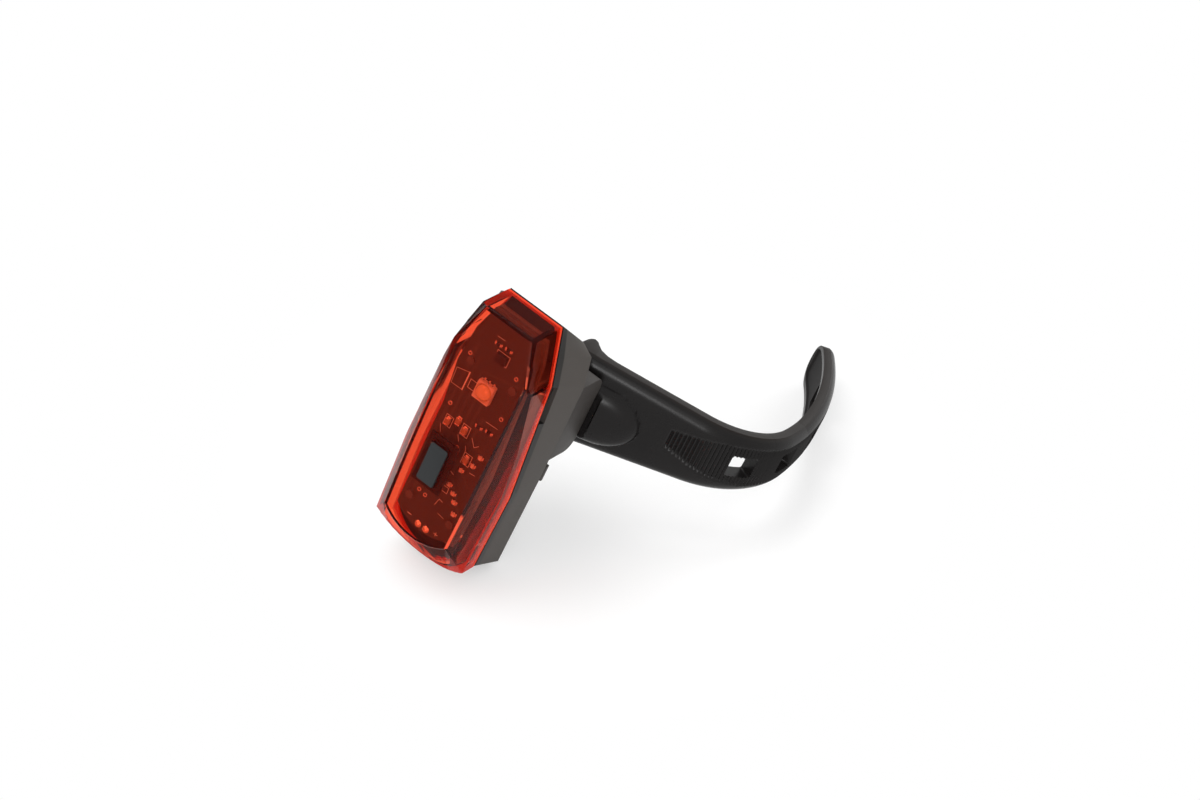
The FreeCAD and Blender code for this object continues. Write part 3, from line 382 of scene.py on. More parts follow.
lensTint = {
    "calm": 0.90,  # share of the front that reflects nothing
    "glossy": 0.62,  # the same along the rim of the front and low on the side slopes
    "rim": (-50.57, -50.25),  # y just behind the front face and where its rim ends
    "slopeWidth": 9.2,  # the side slopes lie further out than this
    "slopeTop": 13.0,
    "cloudy": 0.02,  # how much of the calm share is milky red
    "haze": (0.80, 0.035, 0.018),
    "deep": (0.985, 0.55, 0.43),
    "index": 1.49,
    "shadow": (0.80, 0.50, 0.42),
    "seam": -40.35,  # behind this the plastic is frosted
    "frost": (0.92, 0.075, 0.03),
    "frosted": 0.6,
}


def lensFinish():
    # clear red plastic; light passes it for shadows and for what it lights, tinted once each way
    finish = Finish("redLensPlastic")
    cloud = finish.noise(0.5, 4.0)
    finish.set(
        Base_Color=finish.blendColour(cloud, (0.97, 0.29, 0.18), (0.98, 0.35, 0.22)),
        Roughness=0.01 + cloud * 0.02,
        IOR=lensTint["index"],
        Specular_Tint=(0.9, 0.9, 0.9),
        Transmission_Weight=1.0,
        Normal=finish.bump(finish.noise(0.35, 2.0), 0.08, 0.02),
    )
    looks = {"Color": lensTint["deep"], "IOR": lensTint["index"], "Roughness": 0.02}
    deep = finish.add("ShaderNodeBsdfRefraction", {}, looks)
    haze = finish.add("ShaderNodeBsdfDiffuse", {}, {"Color": lensTint["haze"]})
    calm = finish.blendShader(lensTint["cloudy"], deep, haze)
    front, rimEnd = lensTint["rim"]
    y = finish.axis("Y")
    rim = y.above(front) * y.below(rimEnd)
    wide = finish.axis("X").size().above(lensTint["slopeWidth"])
    slope = wide * finish.axis("Z").below(lensTint["slopeTop"]) * y.above(front)
    share = lensTint["calm"] - rim.most(slope) * (lensTint["calm"] - lensTint["glossy"])
    glass = finish.blendShader(share, Maths(finish, finish.shader.outputs[0]), calm)
    frost = finish.add("ShaderNodeBsdfDiffuse", {}, {"Color": lensTint["frost"]})
    plastic = finish.blendShader(y.above(lensTint["seam"]) * lensTint["frosted"], glass, frost)
    clear = finish.add("ShaderNodeBsdfTransparent", {}, {"Color": lensTint["shadow"]})
    surface = finish.blendShader(finish.ray("Shadow", "Diffuse"), plastic, clear)
    finish.connect(finish.output.inputs["Surface"], surface)
    return finish.material


boardTraces = {
    "mask": (0.037, 0.038, 0.032),
    "copper": (0.066, 0.068, 0.058),
    "fan": 6,  # long traces side by side
    "fanLine": (-7.5, -30.0, -6.0, 14.0),  # x and z at both ends of the first
    "fanStep": (1.7, 1.3, 1.7, -3.1),
    "fanHalf": 0.32,  # half its width
    "short": (
        (-6.0, -10.0, 5.5, -9.0),
        (1.0, -14.5, 6.2, -19.0),
        (2.0, -19.5, 6.5, -26.0),
        (-2.0, 8.5, 7.0, 10.5),
    ),
    "shortHalf": 0.3,
}


def boardFinish():
    # dark solder mask with copper traces under it
    finish = Finish("boardMask")
    x, z = finish.axis("X"), finish.axis("Z")
    warp = finish.noise(0.05, 1.0)

    def stroke(line, half):
        x0, z0, x1, z1 = line
        length = math.hypot(x1 - x0, z1 - z0)
        ux, uz = (x1 - x0) / length, (z1 - z0) / length
        along = (x - x0) * ux + (z - z0) * uz
        across = (x - x0) * uz - (z - z0) * ux
        return across.size().below(half) * along.above(-half) * along.below(length + half)

    first, step = boardTraces["fanLine"], boardTraces["fanStep"]
    strokes = []
    for number in range(boardTraces["fan"]):
        line = [value + number * shift for value, shift in zip(first, step)]
        strokes.append(stroke(line, boardTraces["fanHalf"]))
    strokes += [stroke(line, boardTraces["shortHalf"]) for line in boardTraces["short"]]
    traces = strokes[0]
    for other in strokes[1:]:
        traces = traces.most(other)
    fibre = finish.noise(1.6, 2.0)
    finish.set(
        Base_Color=finish.blendColour(traces * 0.7, boardTraces["mask"], boardTraces["copper"]),
        Roughness=0.34 + fibre * 0.08,
        Normal=finish.bump(traces * 0.6 + fibre * 0.1 + warp * 0.1, 0.5, 0.03),
    )
    return finish.material


view = {
    "place": (201.4, -538.0, 331.6),  # camera, in mm
    "right": (0.7677, 0.5157, 0.3804),
    "up": (-0.5715, 0.2823, 0.7705),
    "back": (0.2899, -0.8090, 0.5114),
    "lens": 85.0,
    "sensor": 36.0,
    "nearest": 0.01,
}
camera = bpy.data.cameras.new("Camera")
camera.lens = view["lens"]
camera.sensor_width = view["sensor"]
camera.clip_start = view["nearest"]
cameraObject = bpy.data.objects.new("Camera", camera)
turn = Matrix((view["right"], view["up"], view["back"])).transposed().to_4x4()
cameraObject.matrix_world = Matrix.Translation(Vector(view["place"]) * mm) @ turn
bpy.context.scene.collection.objects.link(cameraObject)
bpy.context.scene.camera = cameraObject

floor = {
    "normal": (-0.2484, -0.3080, 0.9184),  # the lamp lies tilted on the table
    "below": 33.35,  # from the origin to the table, in mm
    "width": 3.0,  # in metres
    "colour": (0.93, 0.93, 0.93),
    "lighter": (0.95, 0.95, 0.95),
    "plain": 0.034,  # metres from the lamp where the floor starts to glow plain white for the camera and in reflections: painted light that fades out the lamp's shadow
    "fade": 0.06,
}


def makeFloor():
    finish = Finish("paperFloor")
    fibre = finish.noise(0.02, 3.0)
    finish.set(
        Base_Color=finish.blendColour(fibre, floor["colour"], floor["lighter"]),
        Roughness=0.9,
        Specular_IOR_Level=0.1,
    )
    distance = finish.add("ShaderNodeVectorMath", {"operation": "LENGTH"}, {0: finish.place()}, 1)
    # away from the lamp the floor glows white for the camera: painted light over the lamp's shadow
    far = finish.clamp((distance - floor["plain"]) / floor["fade"])
    seen = far * finish.ray("Camera", "Glossy", "Transmission")
    white = finish.add("ShaderNodeEmission", {}, {"Color": (1, 1, 1), "Strength": 1.0})
    paper = finish.blendShader(seen, Maths(finish, finish.shader.outputs[0]), white)
    # the underside is not there, so a view from below sees the lamp
    behind = finish.add("ShaderNodeNewGeometry", output="Backfacing")
    surface = finish.blendShader(behind, paper, finish.add("ShaderNodeBsdfTransparent"))
    finish.connect(finish.output.inputs["Surface"], surface)
    clearSelection()
    normal = Vector(floor["normal"]).normalized()
    bpy.ops.mesh.primitive_plane_add(size=floor["width"], location=normal * (-floor["below"] * mm))
    sheet = bpy.context.object
    sheet.name = "Floor"
    sheet.rotation_mode = "QUATERNION"
    sheet.rotation_quaternion = normal.to_track_quat("Z", "Y")
    settle(sheet)
    sheet.data.materials.append(finish.material)


lights = (
    # name, place in mm, size in mm, watts, aim in mm
    ("softBox", (-375, -245, 538), 420, 2.1, (10, -10, 0)),
    ("fill", (215, -470, 400), 280, 0.4, (20, -10, 0)),
    ("strip", (185, -392, 122), 120, 0.62, (20, -10, 0)),
    ("rim", (60, 420, 460), 300, 0.8, (30, 20, 0)),
)
daylight = {"lighting": 0.68, "seen": 1.0}  # strength for what it lights, and where it is seen


def makeLights():
    for name, place, width, watts, aim in lights:
        lamp = bpy.data.lights.new(name, "AREA")
        lamp.shape = "SQUARE"
        lamp.size = width * mm
        lamp.energy = watts
        holder = bpy.data.objects.new(name, lamp)
        holder.location = Vector(place) * mm
        away = Vector(place) - Vector(aim)
        holder.rotation_euler = away.to_track_quat("Z", "Y").to_euler()
        bpy.context.scene.collection.objects.link(holder)
    world = bpy.context.scene.world or bpy.data.worlds.new("World")
    bpy.context.scene.world = world
    world.use_nodes = True
    tree = world.node_tree
    tree.nodes.clear()
    output = tree.nodes.new("ShaderNodeOutputWorld")
    glows = []
    for strength in (daylight["lighting"], daylight["seen"]):
        glow = tree.nodes.new("ShaderNodeBackground")
        glow.inputs["Color"].default_value = (1, 1, 1, 1)
        glow.inputs["Strength"].default_value = strength
        glows.append(glow)
    path = tree.nodes.new("ShaderNodeLightPath")
    seen = tree.nodes.new("ShaderNodeMixShader")
    share = path.outputs["Is Camera Ray"]
    for ray in ("Is Glossy Ray", "Is Transmission Ray"):
        either = tree.nodes.new("ShaderNodeMath")
        either.operation = "MAXIMUM"
        tree.links.new(share, either.inputs[0])
        tree.links.new(path.outputs[ray], either.inputs[1])
        share = either.outputs[0]
    tree.links.new(share, seen.inputs[0])
    for number, glow in enumerate(glows):
        tree.links.new(glow.outputs[0], seen.inputs[number + 1])
    tree.links.new(seen.outputs[0], output.inputs["Surface"])


makeFloor()
makeLights()
scene = bpy.context.scene
scene.view_settings.view_transform = "Standard"
print("stage ready")

# Outlines from the top corner down the right side: half width and height; drop is that of the foot arc.
outlines = {
    "front": {
        "y": -50.59,
        "corners": ((6.2, 25.4), (8.3, 19.4), (10.1, 14.3), (9.35, -18.7), (9.0, -33.0)),
        "drop": 3.2,
    },
    "seam": {
        "y": -39.59,
        "corners": ((7.6, 25.7), (9.6, 18.2), (11.3, 11.8), (13.8, -18.7), (13.1, -40.1)),
        "drop": 4.8,
    },
    # the slopes round the front face run through this outline
    "slope": {
        "y": -44.19,
        "corners": ((17.4, 25.7), (14.2, 15.7), (13.0, 9.2), (13.8, -18.7), (13.1, -40.1)),
        "drop": 2.2,
    },
    "arcSteps": 14,
}


def faceOutwards():
    # from edit mode, with all the faces of the solid turned outwards
    bpy.ops.mesh.select_all(action="SELECT")
    bpy.ops.mesh.normals_make_consistent(inside=False)
    bpy.ops.object.mode_set(mode="OBJECT")


def outlinePoints(corners, drop, y):
    # once round the outline, from the top right corner down, along the foot arc and up the left side
    right = [Vector((half, y, height)) for half, height in corners]
    half, foot = corners[-1]
    radius = (half * half + drop * drop) / (2 * drop)
    middle = foot - drop + radius
    reach = math.asin(half / radius)
    steps = outlines["arcSteps"]
    arc = []
    for number in range(1, steps):
        angle = reach * (1 - 2 * number / steps)
        arc.append(Vector((radius * math.sin(angle), y, middle - radius * math.cos(angle))))
    left = [Vector((-point.x, y, point.z)) for point in reversed(right)]
    return [point * mm for point in right + arc + left]


def insetCorners(corners, wall, thick=1.0):
    # the lower part of the side walls may be thicker than the rest
    lifts = (-1, 0, 0, 0, 1)
    walls = (wall, wall, wall, wall * thick, wall * thick)
    return [
        (half - side, height + lift * wall)
        for (half, height), lift, side in zip(corners, lifts, walls)
    ]


def moveRing(piece, before, after):
    # each selected vertex goes from its place in one ring to the same place in the next
    mesh = bmesh.from_edit_mesh(piece.data)
    for vertex in mesh.verts:
        if vertex.select:
            nearest = min(range(len(before)), key=lambda n: (before[n] - vertex.co).length_squared)
            vertex.co = after[nearest]
    bmesh.update_edit_mesh(piece.data)


def ringStack(name, rings):
    # a capped stack of rings: a disc is placed on the first one and drawn out to each of the others
    clearSelection()
    bpy.ops.mesh.primitive_circle_add(vertices=len(rings[0]), radius=1, fill_type="NGON")
    piece = bpy.context.object
    piece.name = name
    bpy.ops.object.mode_set(mode="EDIT")
    mesh = bmesh.from_edit_mesh(piece.data)
    for vertex, point in zip(mesh.verts, rings[0]):
        vertex.co = point
    bmesh.update_edit_mesh(piece.data)
    for before, after in zip(rings, rings[1:]):
        bpy.ops.mesh.extrude_region_move()
        moveRing(piece, before, after)
    faceOutwards()
    return piece


def slopeRing(y, wall):
    # the outline that the slopes reach at y
    front, slope = outlines["front"], outlines["slope"]
    share = (y - front["y"]) / (slope["y"] - front["y"])
    corners = [
        (mix(a, c, share), mix(b, d, share))
        for (a, b), (c, d) in zip(front["corners"], slope["corners"])
    ]
    return outlinePoints(insetCorners(corners, wall), mix(front["drop"], slope["drop"], share), y)


lens = {
    "wall": 1.5,
    "lowWall": 2.3,  # times the wall, low down on both sides
    "frontWall": 1.8,
    "past": 0.5,  # how far behind the seam the solid of the slopes starts
    "hair": 0.0001,  # how far the hollow reaches past the seam
    "edge": 0.3,
    "window": ((-2.15, -50.0, -16.65), (4.9, 8.0, 10.5)),  # middle and size
    "windowCorner": 0.55,
}


def lensForm(name, startY, wall):
    # the lens's outside or its hollow: a prism of the seam's outline, cut by the slopes
    seam = outlines["seam"]
    corners = insetCorners(seam["corners"], wall, lens["lowWall"])
    prism = ringStack(name, [outlinePoints(corners, seam["drop"], y) for y in (seam["y"], startY)])
    ends = (seam["y"] + lens["past"], startY)
    slopes = ringStack(name + "Slopes", [slopeRing(y, wall) for y in ends])
    combine(prism, "INTERSECT", slopes)
    return prism


def makeLens(material):
    piece = lensForm("lensCover", outlines["front"]["y"], 0)
    hollow = lensForm("lensHollow", outlines["front"]["y"] + lens["frontWall"], lens["wall"])
    clearSelection()
    hollow.select_set(True)
    bpy.ops.transform.translate(value=(0, lens["hair"] * mm, 0))
    combine(piece, "DIFFERENCE", hollow)
    bevelEdges(piece, lens["edge"], 3, 12)
    window = roundedBlock("windowCutter", *lens["window"], lens["windowCorner"])
    combine(piece, "DIFFERENCE", window)
    smoothBy(piece, 8)
    return finishPiece(piece, "front_unit", material, "red_lens", "lens_cover")


strap = {
    "thickness": 4.2,
    "wing": 7.9,  # straight part of the left wing
    "corner": 4.4,  # length of each soft corner beside the bracket
    "flat": 13.6,
    "straight": 28.2,
    "slope": 22.7,  # degrees that each corner beside the bracket turns
    "bend": 24.2,  # radius
    "end": 83.0,  # radius
    "endTurn": 37.4,
    "saddleY": -20.54,
    "halfHeights": ((-28.1, 5.3), (-18.0, 8.6), (-4.3, 11.8), (1.0, 11.8), (30.4, 8.95), (67.0, 5.9)),
    "column": 0.25,
    "rows": 44,
    "split": 51.0,
    "seamGap": 0.03,
    "bends": (14.0, 30.0, 62.5, 74.5),  # start and end of the bend at each of its two hinges
    "edge": 0.55,
    "slots": (43.4, 59.2, 75.4, 92.2),
    "slot": (7.0, 12.0, 5.6),
    "slotCorner": 0.5,
    "tipCorner": 5.0,
    "start": -28.1,
    "startCorner": 2.0,
    "round": 2.6,  # soft outer corners along both edges
    "roundDepth": 0.6,
    "crown": 0.9,  # how far the outer face falls away towards both edges
    "crownStart": 0.4,  # share of the half height where that begins
    "side": 0.5,  # the side faces' rougher look and their painted warm light start this far inside the edge
    "sideSoft": 0.4,
}

strapRuns = (
    # stretches of the outer face from the left wing on: length and turn in degrees
    (strap["wing"], 0),
    (strap["corner"], strap["slope"]),
    (strap["flat"], 0),
    (strap["corner"], strap["slope"]),
    (strap["straight"], 0),
    (strap["bend"] * math.radians(90 - strap["slope"]), 90 - strap["slope"]),
    (strap["end"] * math.radians(strap["endTurn"]), strap["endTurn"]),
)
saddleCorner = strap["wing"] + strap["corner"] * 1.5 + strap["flat"]
strapEnd = sum(length for length, _ in strapRuns) - saddleCorner


def walkStrap(distance):
    # place and direction on the outer face, at this distance from the end of the left wing
    x, y, heading = 0.0, 0.0, math.radians(-strap["slope"])
    left = distance
    for number, (length, degrees) in enumerate(strapRuns):
        step = left if number == len(strapRuns) - 1 else min(left, length)
        turned = math.radians(degrees) * step / length
        if abs(turned) > 1e-9:
            radius = step / turned
            x += radius * (math.sin(heading + turned) - math.sin(heading))
            y -= radius * (math.cos(heading + turned) - math.cos(heading))
        else:
            x += step * math.cos(heading)
            y += step * math.sin(heading)
        heading += turned
        left -= step
        if left <= 0:
            break
    return x, y, heading


def strapPoint(along):
    # place and direction of the outer face; along is 0 at the right corner of the saddle
    middleX, middleY, _ = walkStrap(strap["wing"] + strap["corner"] + strap["flat"] / 2)
    x, y, heading = walkStrap(along + saddleCorner)
    return x - middleX, y - middleY + strap["saddleY"], heading


def inStrap(along, depth, height):
    # a place this deep behind the outer face
    x, y, heading = strapPoint(along)
    return Vector((x - depth * math.sin(heading), y + depth * math.cos(heading), height)) * mm


def halfHeight(along):
    half = alongTable(along, strap["halfHeights"])
    corners = (
        (strap["tipCorner"], along - (strapEnd - strap["tipCorner"])),
        (strap["startCorner"], strap["start"] + strap["startCorner"] - along),
    )
    for corner, past in corners:
        if past > 0:
            half -= corner - math.sqrt(max(0.0, corner * corner - past * past))
    return half


panel = {
    "top": ((23.6, 0.40), (30.5, 0.54), (37.3, 0.68), (43.0, 0.72), (108, 0.72)),
    "foot": (
        (23.6, -0.12), (31.3, -0.38), (36.8, -0.54), (46.0, -0.68), (58.0, -0.72), (108, -0.72),
    ),
    "depth": 0.55,
    "edge": 0.045,
    "pitch": 1.0,
    "rib": 0.36,
    "start": 23.8,
    "startSoft": 0.3,
    "end": 106.0,
    "endSoft": 0.6,
}
bulge = {
    "along": 6.6,
    "height": -0.9,
    "length": 11.0,
    "half": 7.5,
    "rise": 3.3,
    "fullness": 1.6,
    "start": -2.2,
    "bracketX": 15.0,  # as far out as this it keeps clear of the bracket
    "bracketGap": 0.3,
}
ribs = {
    # depth of the inner face beside the post: place from the right corner, depth
    "inner": (
        (-4.45, 3.2), (-4.3, 6.9), (-3.5, 8.1), (-2.8, 7.95), (0.0, 6.75), (4.0, 4.55), (6.5, 4.2),
    ),
    "middle": -9.0,  # the second rib is the mirror image of the first about this
}
# The shallow recess behind the tail. Its halves are shares of the strap's half height.
tailRecess = {
    "start": 72,
    "tip": 1.6,  # what is left at the tip
    "soft": 0.6,
    "half": 0.78,
    "halfSoft": 0.06,
    "matt": 0.8,
    "depth": 0.45,
}


def smoothStep(value):
    value = min(1.0, max(0.0, value))
    return value * value * (3 - 2 * value)


def outerDepth(along, share, height):
    side = max(0.0, min(1.0, abs(share)) - strap["crownStart"]) / (1 - strap["crownStart"])
    depth = strap["crown"] * side ** 2
    if panel["start"] < along < panel["end"]:
        inside = min(
            smoothStep((alongTable(along, panel["top"]) - share) / panel["edge"]),
            smoothStep((share - alongTable(along, panel["foot"])) / panel["edge"]),
            smoothStep((along - panel["start"]) / panel["startSoft"]),
            smoothStep((panel["end"] - along) / panel["endSoft"]),
        )
        wave = 0.5 + 0.5 * math.cos(2 * math.pi * along / panel["pitch"])
        depth += inside * (panel["depth"] - panel["rib"] * wave)
    past = abs(height) - (halfHeight(along) - strap["round"])
    if past > 0:
        past = min(past, strap["round"] * 0.98)
        fall = strap["round"] - math.sqrt(strap["round"] ** 2 - past * past)
        depth += fall * strap["roundDepth"]
    across = (along - bulge["along"]) / bulge["length"]
    up = (height - bulge["height"]) / bulge["half"]
    reach = across * across + up * up
    if reach < 1 and along > bulge["start"]:
        rise = bulge["rise"] * math.sqrt(1 - reach ** bulge["fullness"])
        x, y, heading = strapPoint(along)
        if x < bulge["bracketX"]:
            room = (y - strap["saddleY"] - bulge["bracketGap"]) / math.cos(heading)
            rise = min(rise, max(0.0, room))
        depth -= rise
    return depth


def innerDepth(along, share):
    mirrored = along if along > ribs["middle"] else 2 * ribs["middle"] - along
    depth = alongTable(mirrored, ribs["inner"])
    recessEnd = strapEnd - tailRecess["tip"]
    if tailRecess["start"] < along < recessEnd:
        inside = min(
            smoothStep((tailRecess["half"] - abs(share)) / tailRecess["halfSoft"]),
            smoothStep((along - tailRecess["start"]) / tailRecess["soft"]),
            smoothStep((recessEnd - along) / tailRecess["soft"]),
        )
        depth -= tailRecess["depth"] * inside
    return depth


def flatStrip(name, start, end):
    # the strap laid flat, with its long edges and its free ends rounded
    columns = round((end - start) / strap["column"])
    clearSelection()
    bpy.ops.mesh.primitive_grid_add(
        x_subdivisions=columns, y_subdivisions=strap["rows"], size=1, rotation=(math.pi / 2, 0, 0)
    )
    piece = bpy.context.object
    piece.name = name
    settle(piece)
    for vertex in piece.data.vertices:
        along = mix(start, end, vertex.co.x + 0.5)
        vertex.co = Vector((along, 0, vertex.co.z * 2 * halfHeight(along))) * mm
    bpy.ops.object.mode_set(mode="EDIT")
    bpy.ops.mesh.select_all(action="SELECT")
    inwards = {"value": (0, strap["thickness"] * mm, 0)}
    bpy.ops.mesh.extrude_region_move(TRANSFORM_OT_translate=inwards)
    bpy.ops.mesh.select_all(action="SELECT")
    bpy.ops.mesh.normals_make_consistent(inside=False)
    bpy.ops.mesh.select_mode(type="EDGE")
    bpy.ops.mesh.select_all(action="DESELECT")
    mesh = bmesh.from_edit_mesh(piece.data)
    for edge in mesh.edges:
        faces = edge.link_faces
        if len(faces) != 2 or abs(faces[0].normal.dot(faces[1].normal)) > 0.5:
            continue
        middle = (edge.verts[0].co.x + edge.verts[1].co.x) / 2 / mm
        atSplit = abs(middle - strap["split"]) < 0.1
        if max(abs(face.normal.y) for face in faces) > 0.9 and not atSplit:
            edge.select_set(True)
    bmesh.update_edit_mesh(piece.data)
    bpy.ops.mesh.bevel(offset=strap["edge"] * mm, segments=3, profile=0.5, clamp_overlap=True)
    bpy.ops.object.mode_set(mode="OBJECT")
    return piece


def wrapStrip(piece, start, end):
    # every vertex goes to its place beside the strap's line; the attributes are for the rubber's look
    thickness = strap["thickness"]
    side = piece.data.attributes.new("side", "FLOAT", "POINT")
    recess = piece.data.attributes.new("recess", "FLOAT", "POINT")
    for vertex in piece.data.vertices:
        along, depth, height = vertex.co.x / mm, vertex.co.y / mm, vertex.co.z / mm
        half = halfHeight(min(max(along, start), end))
        share = height / max(0.1, half)
        edge = (abs(height) - half + strap["side"]) / strap["sideSoft"]
        side.data[vertex.index].value = smoothStep(edge)
        matt = along > tailRecess["start"] and abs(share) < tailRecess["matt"]
        recess.data[vertex.index].value = float(depth > thickness * 0.9 and matt)
        outer = outerDepth(along, share, height)
        depth = mix(outer, innerDepth(along, share), depth / thickness)
        vertex.co = inStrap(along, depth, height)
    piece.data.update()
    choose(piece)
    bpy.ops.object.mode_set(mode="EDIT")
    faceOutwards()
    smoothBy(piece, 50)


def makeStrapPart(name, start, end):
    piece = flatStrip(name, start, end)
    cutters = []
    for along in strap["slots"]:
        if start < along < end:
            centre = (along, strap["thickness"] / 2, 0)
            cutters.append(roundedBlock("slotCutter", centre, strap["slot"], strap["slotCorner"]))
    combine(piece, "DIFFERENCE", *cutters)
    wrapStrip(piece, start, end)
    return piece


def makeStrap(material):
    split = strap["split"]
    gap = strap["seamGap"] / 2
    near = makeStrapPart("strapNear", strap["start"], split - gap)
    far = makeStrapPart("strapFar", split + gap, strapEnd)
    finishPiece(near, None, material, "strap_rubber", "strap_saddle", "strap_mid")
    finishPiece(far, None, material, "strap_rubber", "strap_mid", "strap_tail")
    ends = [inStrap(along, strap["thickness"] / 2, 0) for along in strap["bends"]]
    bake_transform(near)
    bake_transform(far)


# Ink on the board. A stroke is x0, z0, x1, z1 and its width.
printedMarks = {
    "face": -45.39,
    "height": 0.03,
    "strokes": (
        (-8.4, 5.3, -5.1, 6.2, 0.1), (-8.2, 1.2, -5.0, 1.3, 0.1), (-8.4, 5.3, -8.2, 1.2, 0.1),
        (-5.1, 1.3, -5.0, 6.2, 0.34), (1.1, -26.1, 0.6, -28.1, 0.14), (1.1, -26.1, 2.1, -26.3, 0.14),
        (-4.6, -34.4, -3.6, -34.4, 0.2),
        (3.4, -34.6, 4.4, -34.6, 0.16), (3.9, -35.1, 3.9, -34.1, 0.16),
        (-2.6, 18.2, -0.6, 18.3, 0.1), (3.4, -1.7, 6.6, -1.5, 0.1), (2.0, -7.4, 3.4, -9.2, 0.12),
        (3.4, -9.2, 4.3, -8.2, 0.12), (1.4, -10.2, 1.9, -11.3, 0.1), (-1.4, -9.0, -0.6, -10.3, 0.12),
        (0.6, -18.0, 1.7, -18.4, 0.12), (-6.4, -9.4, -5.6, -11.2, 0.1), (5.0, -15.4, 6.4, -15.2, 0.12),
        (2.2, -29.5, 4.0, -29.8, 0.1),
    ),
    # outlines round parts: middle x and z, width and height
    "frames": (
        (0.5, 14.1, 3.5, 2.7), (-3.3, 3.9, 1.7, 2.3), (-0.2, -7.0, 2.1, 2.9),
        (3.0, -13.0, 2.2, 2.9), (-4.9, -7.6, 2.0, 2.8), (1.2, -23.0, 1.9, 1.5),
    ),
    "line": 0.13,  # width of those outlines
    # plated holes
    "holes": (
        (-4.4, -27.3), (-2.5, -27.6), (5.6, 12.0), (-6.9, 10.4),
        (6.4, 1.2), (-6.3, -3.4), (-0.4, -11.9),
    ),
    "ring": (0.42, 0.13),  # radii of the metal ring round each hole
}


def boardStrip(x, z, long, wide, angle=0.0):
    # one flat strip of ink on the face of the board
    high = printedMarks["height"]
    clearSelection()
    bpy.ops.mesh.primitive_cube_add(size=1, location=(0, 0, 0))
    strip = bpy.context.object
    strip.scale = (long * mm, high * mm, wide * mm)
    strip.rotation_euler = (0, -angle, 0)
    strip.location = (x * mm, (printedMarks["face"] - high / 2) * mm, z * mm)
    settle(strip)
    return strip


def joinPieces(name, pieces):
    clearSelection()
    for piece in pieces:
        piece.select_set(True)
    bpy.context.view_layer.objects.active = pieces[0]
    bpy.ops.object.join()
    joined = bpy.context.object
    joined.name = name
    return joined


def finishJoined(name, pieces, material, slotName, *nodes):
    joined = joinPieces(name, pieces)
    smoothBy(joined, 40)
    finishPiece(joined, "front_unit", material, slotName, *nodes)


def makePrint(material):
    strips = []
    for x0, z0, x1, z1, wide in printedMarks["strokes"]:
        long = math.hypot(x1 - x0, z1 - z0) + wide
        angle = math.atan2(z1 - z0, x1 - x0)
        strips.append(boardStrip((x0 + x1) / 2, (z0 + z1) / 2, long, wide, angle))
    line = printedMarks["line"]
    for x, z, wide, high in printedMarks["frames"]:
        for side in (-1, 1):
            strips.append(boardStrip(x, z + side * high / 2, wide + line, line))
            strips.append(boardStrip(x + side * wide / 2, z, line, high - line))
    return finishPiece(joinPieces("boardPrint", strips), "front_unit", material, "board")


# The small parts on the board: the CAD solid that each kind stands for, its size and its places.
boardParts = {
    "resistors": {
        "node": "chip_resistors",
        "size": (1.6, 0.45, 0.8),
        "places": ((2.4, -3.9), (5.2, -3.5), (-1.6, 16.7), (1.2, 16.9)),
        "upright": False,
    },
    "capacitors": {
        "node": "chip_capacitors",
        "size": (1.3, 0.8, 1.9),
        "places": ((-4.9, -7.6), (-2.5, -5.8), (-0.2, -7.0), (3.0, -13.0)),
        "upright": True,
    },
    "diodes": {
        "node": "chip_diodes",
        "size": (1.1, 0.6, 1.0),
        "places": (
            (6.0, -10.2), (5.1, -13.2), (3.0, -16.0), (1.9, -21.0),
            (3.7, -22.4), (4.8, -24.2), (5.9, -26.9),
        ),
        "upright": False,
    },
}
chipMetal = {
    "cap": 0.3,  # length of the metal at each end
    "capCorner": 0.09,
    "foot": 0.32,  # how far the solder runs out from each end
    "tuck": 0.08,  # how much of that lies under the cap
}


def chipBlock(name, place, shift, size, upright, radius, segments):
    # a block on the board: its size is across, through and along the chip, and the shift goes along it
    x, y, z = place
    across, through, along = size
    centre = (x, y, z + shift) if upright else (x + shift, y, z)
    dimensions = (across, through, along) if upright else (along, through, across)
    return roundedBlock(name, centre, dimensions, radius, segments)


def makeBoardParts(finishes, tin):
    ends = []
    face = printedMarks["face"]
    cap, foot = chipMetal["cap"], chipMetal["foot"]
    for kind, entry in boardParts.items():
        wide, thick, high = entry["size"]
        upright = entry["upright"]
        across, along = (wide, high) if upright else (high, wide)
        coreSize = [value * 0.98 for value in (across, thick, along - cap * 2)]
        footSize = (across * 0.9, thick * 0.4, foot)
        bodies = []
        for x, z in entry["places"]:
            middle = (x, face - thick / 2, z)
            low = (x, face - thick * 0.2, z)
            bodies.append(chipBlock(kind, middle, 0, coreSize, upright, 0.05, 2))
            for side in (-1, 1):
                reach = side * (along - cap) / 2
                capSize = (across, thick, cap)
                corner = chipMetal["capCorner"]
                ends.append(chipBlock("chipEnd", middle, reach, capSize, upright, corner, 3))
                reach = side * (along / 2 + foot / 2 - chipMetal["tuck"])
                ends.append(chipBlock("chipFoot", low, reach, footSize, upright, thick * 0.18, 3))
        finishJoined(kind, bodies, finishes[kind], "chip_ceramic", entry["node"])
    ring, wire = printedMarks["ring"]
    for x, z in printedMarks["holes"]:
        clearSelection()
        bpy.ops.mesh.primitive_torus_add(
            major_segments=20, minor_segments=6, major_radius=ring * mm, minor_radius=wire * mm,
            location=(x * mm, face * mm, z * mm), rotation=(math.pi / 2, 0, 0),
        )
        settle(bpy.context.object)
        ends.append(bpy.context.object)
    finishJoined("boardSolder", ends, tin, "solder")


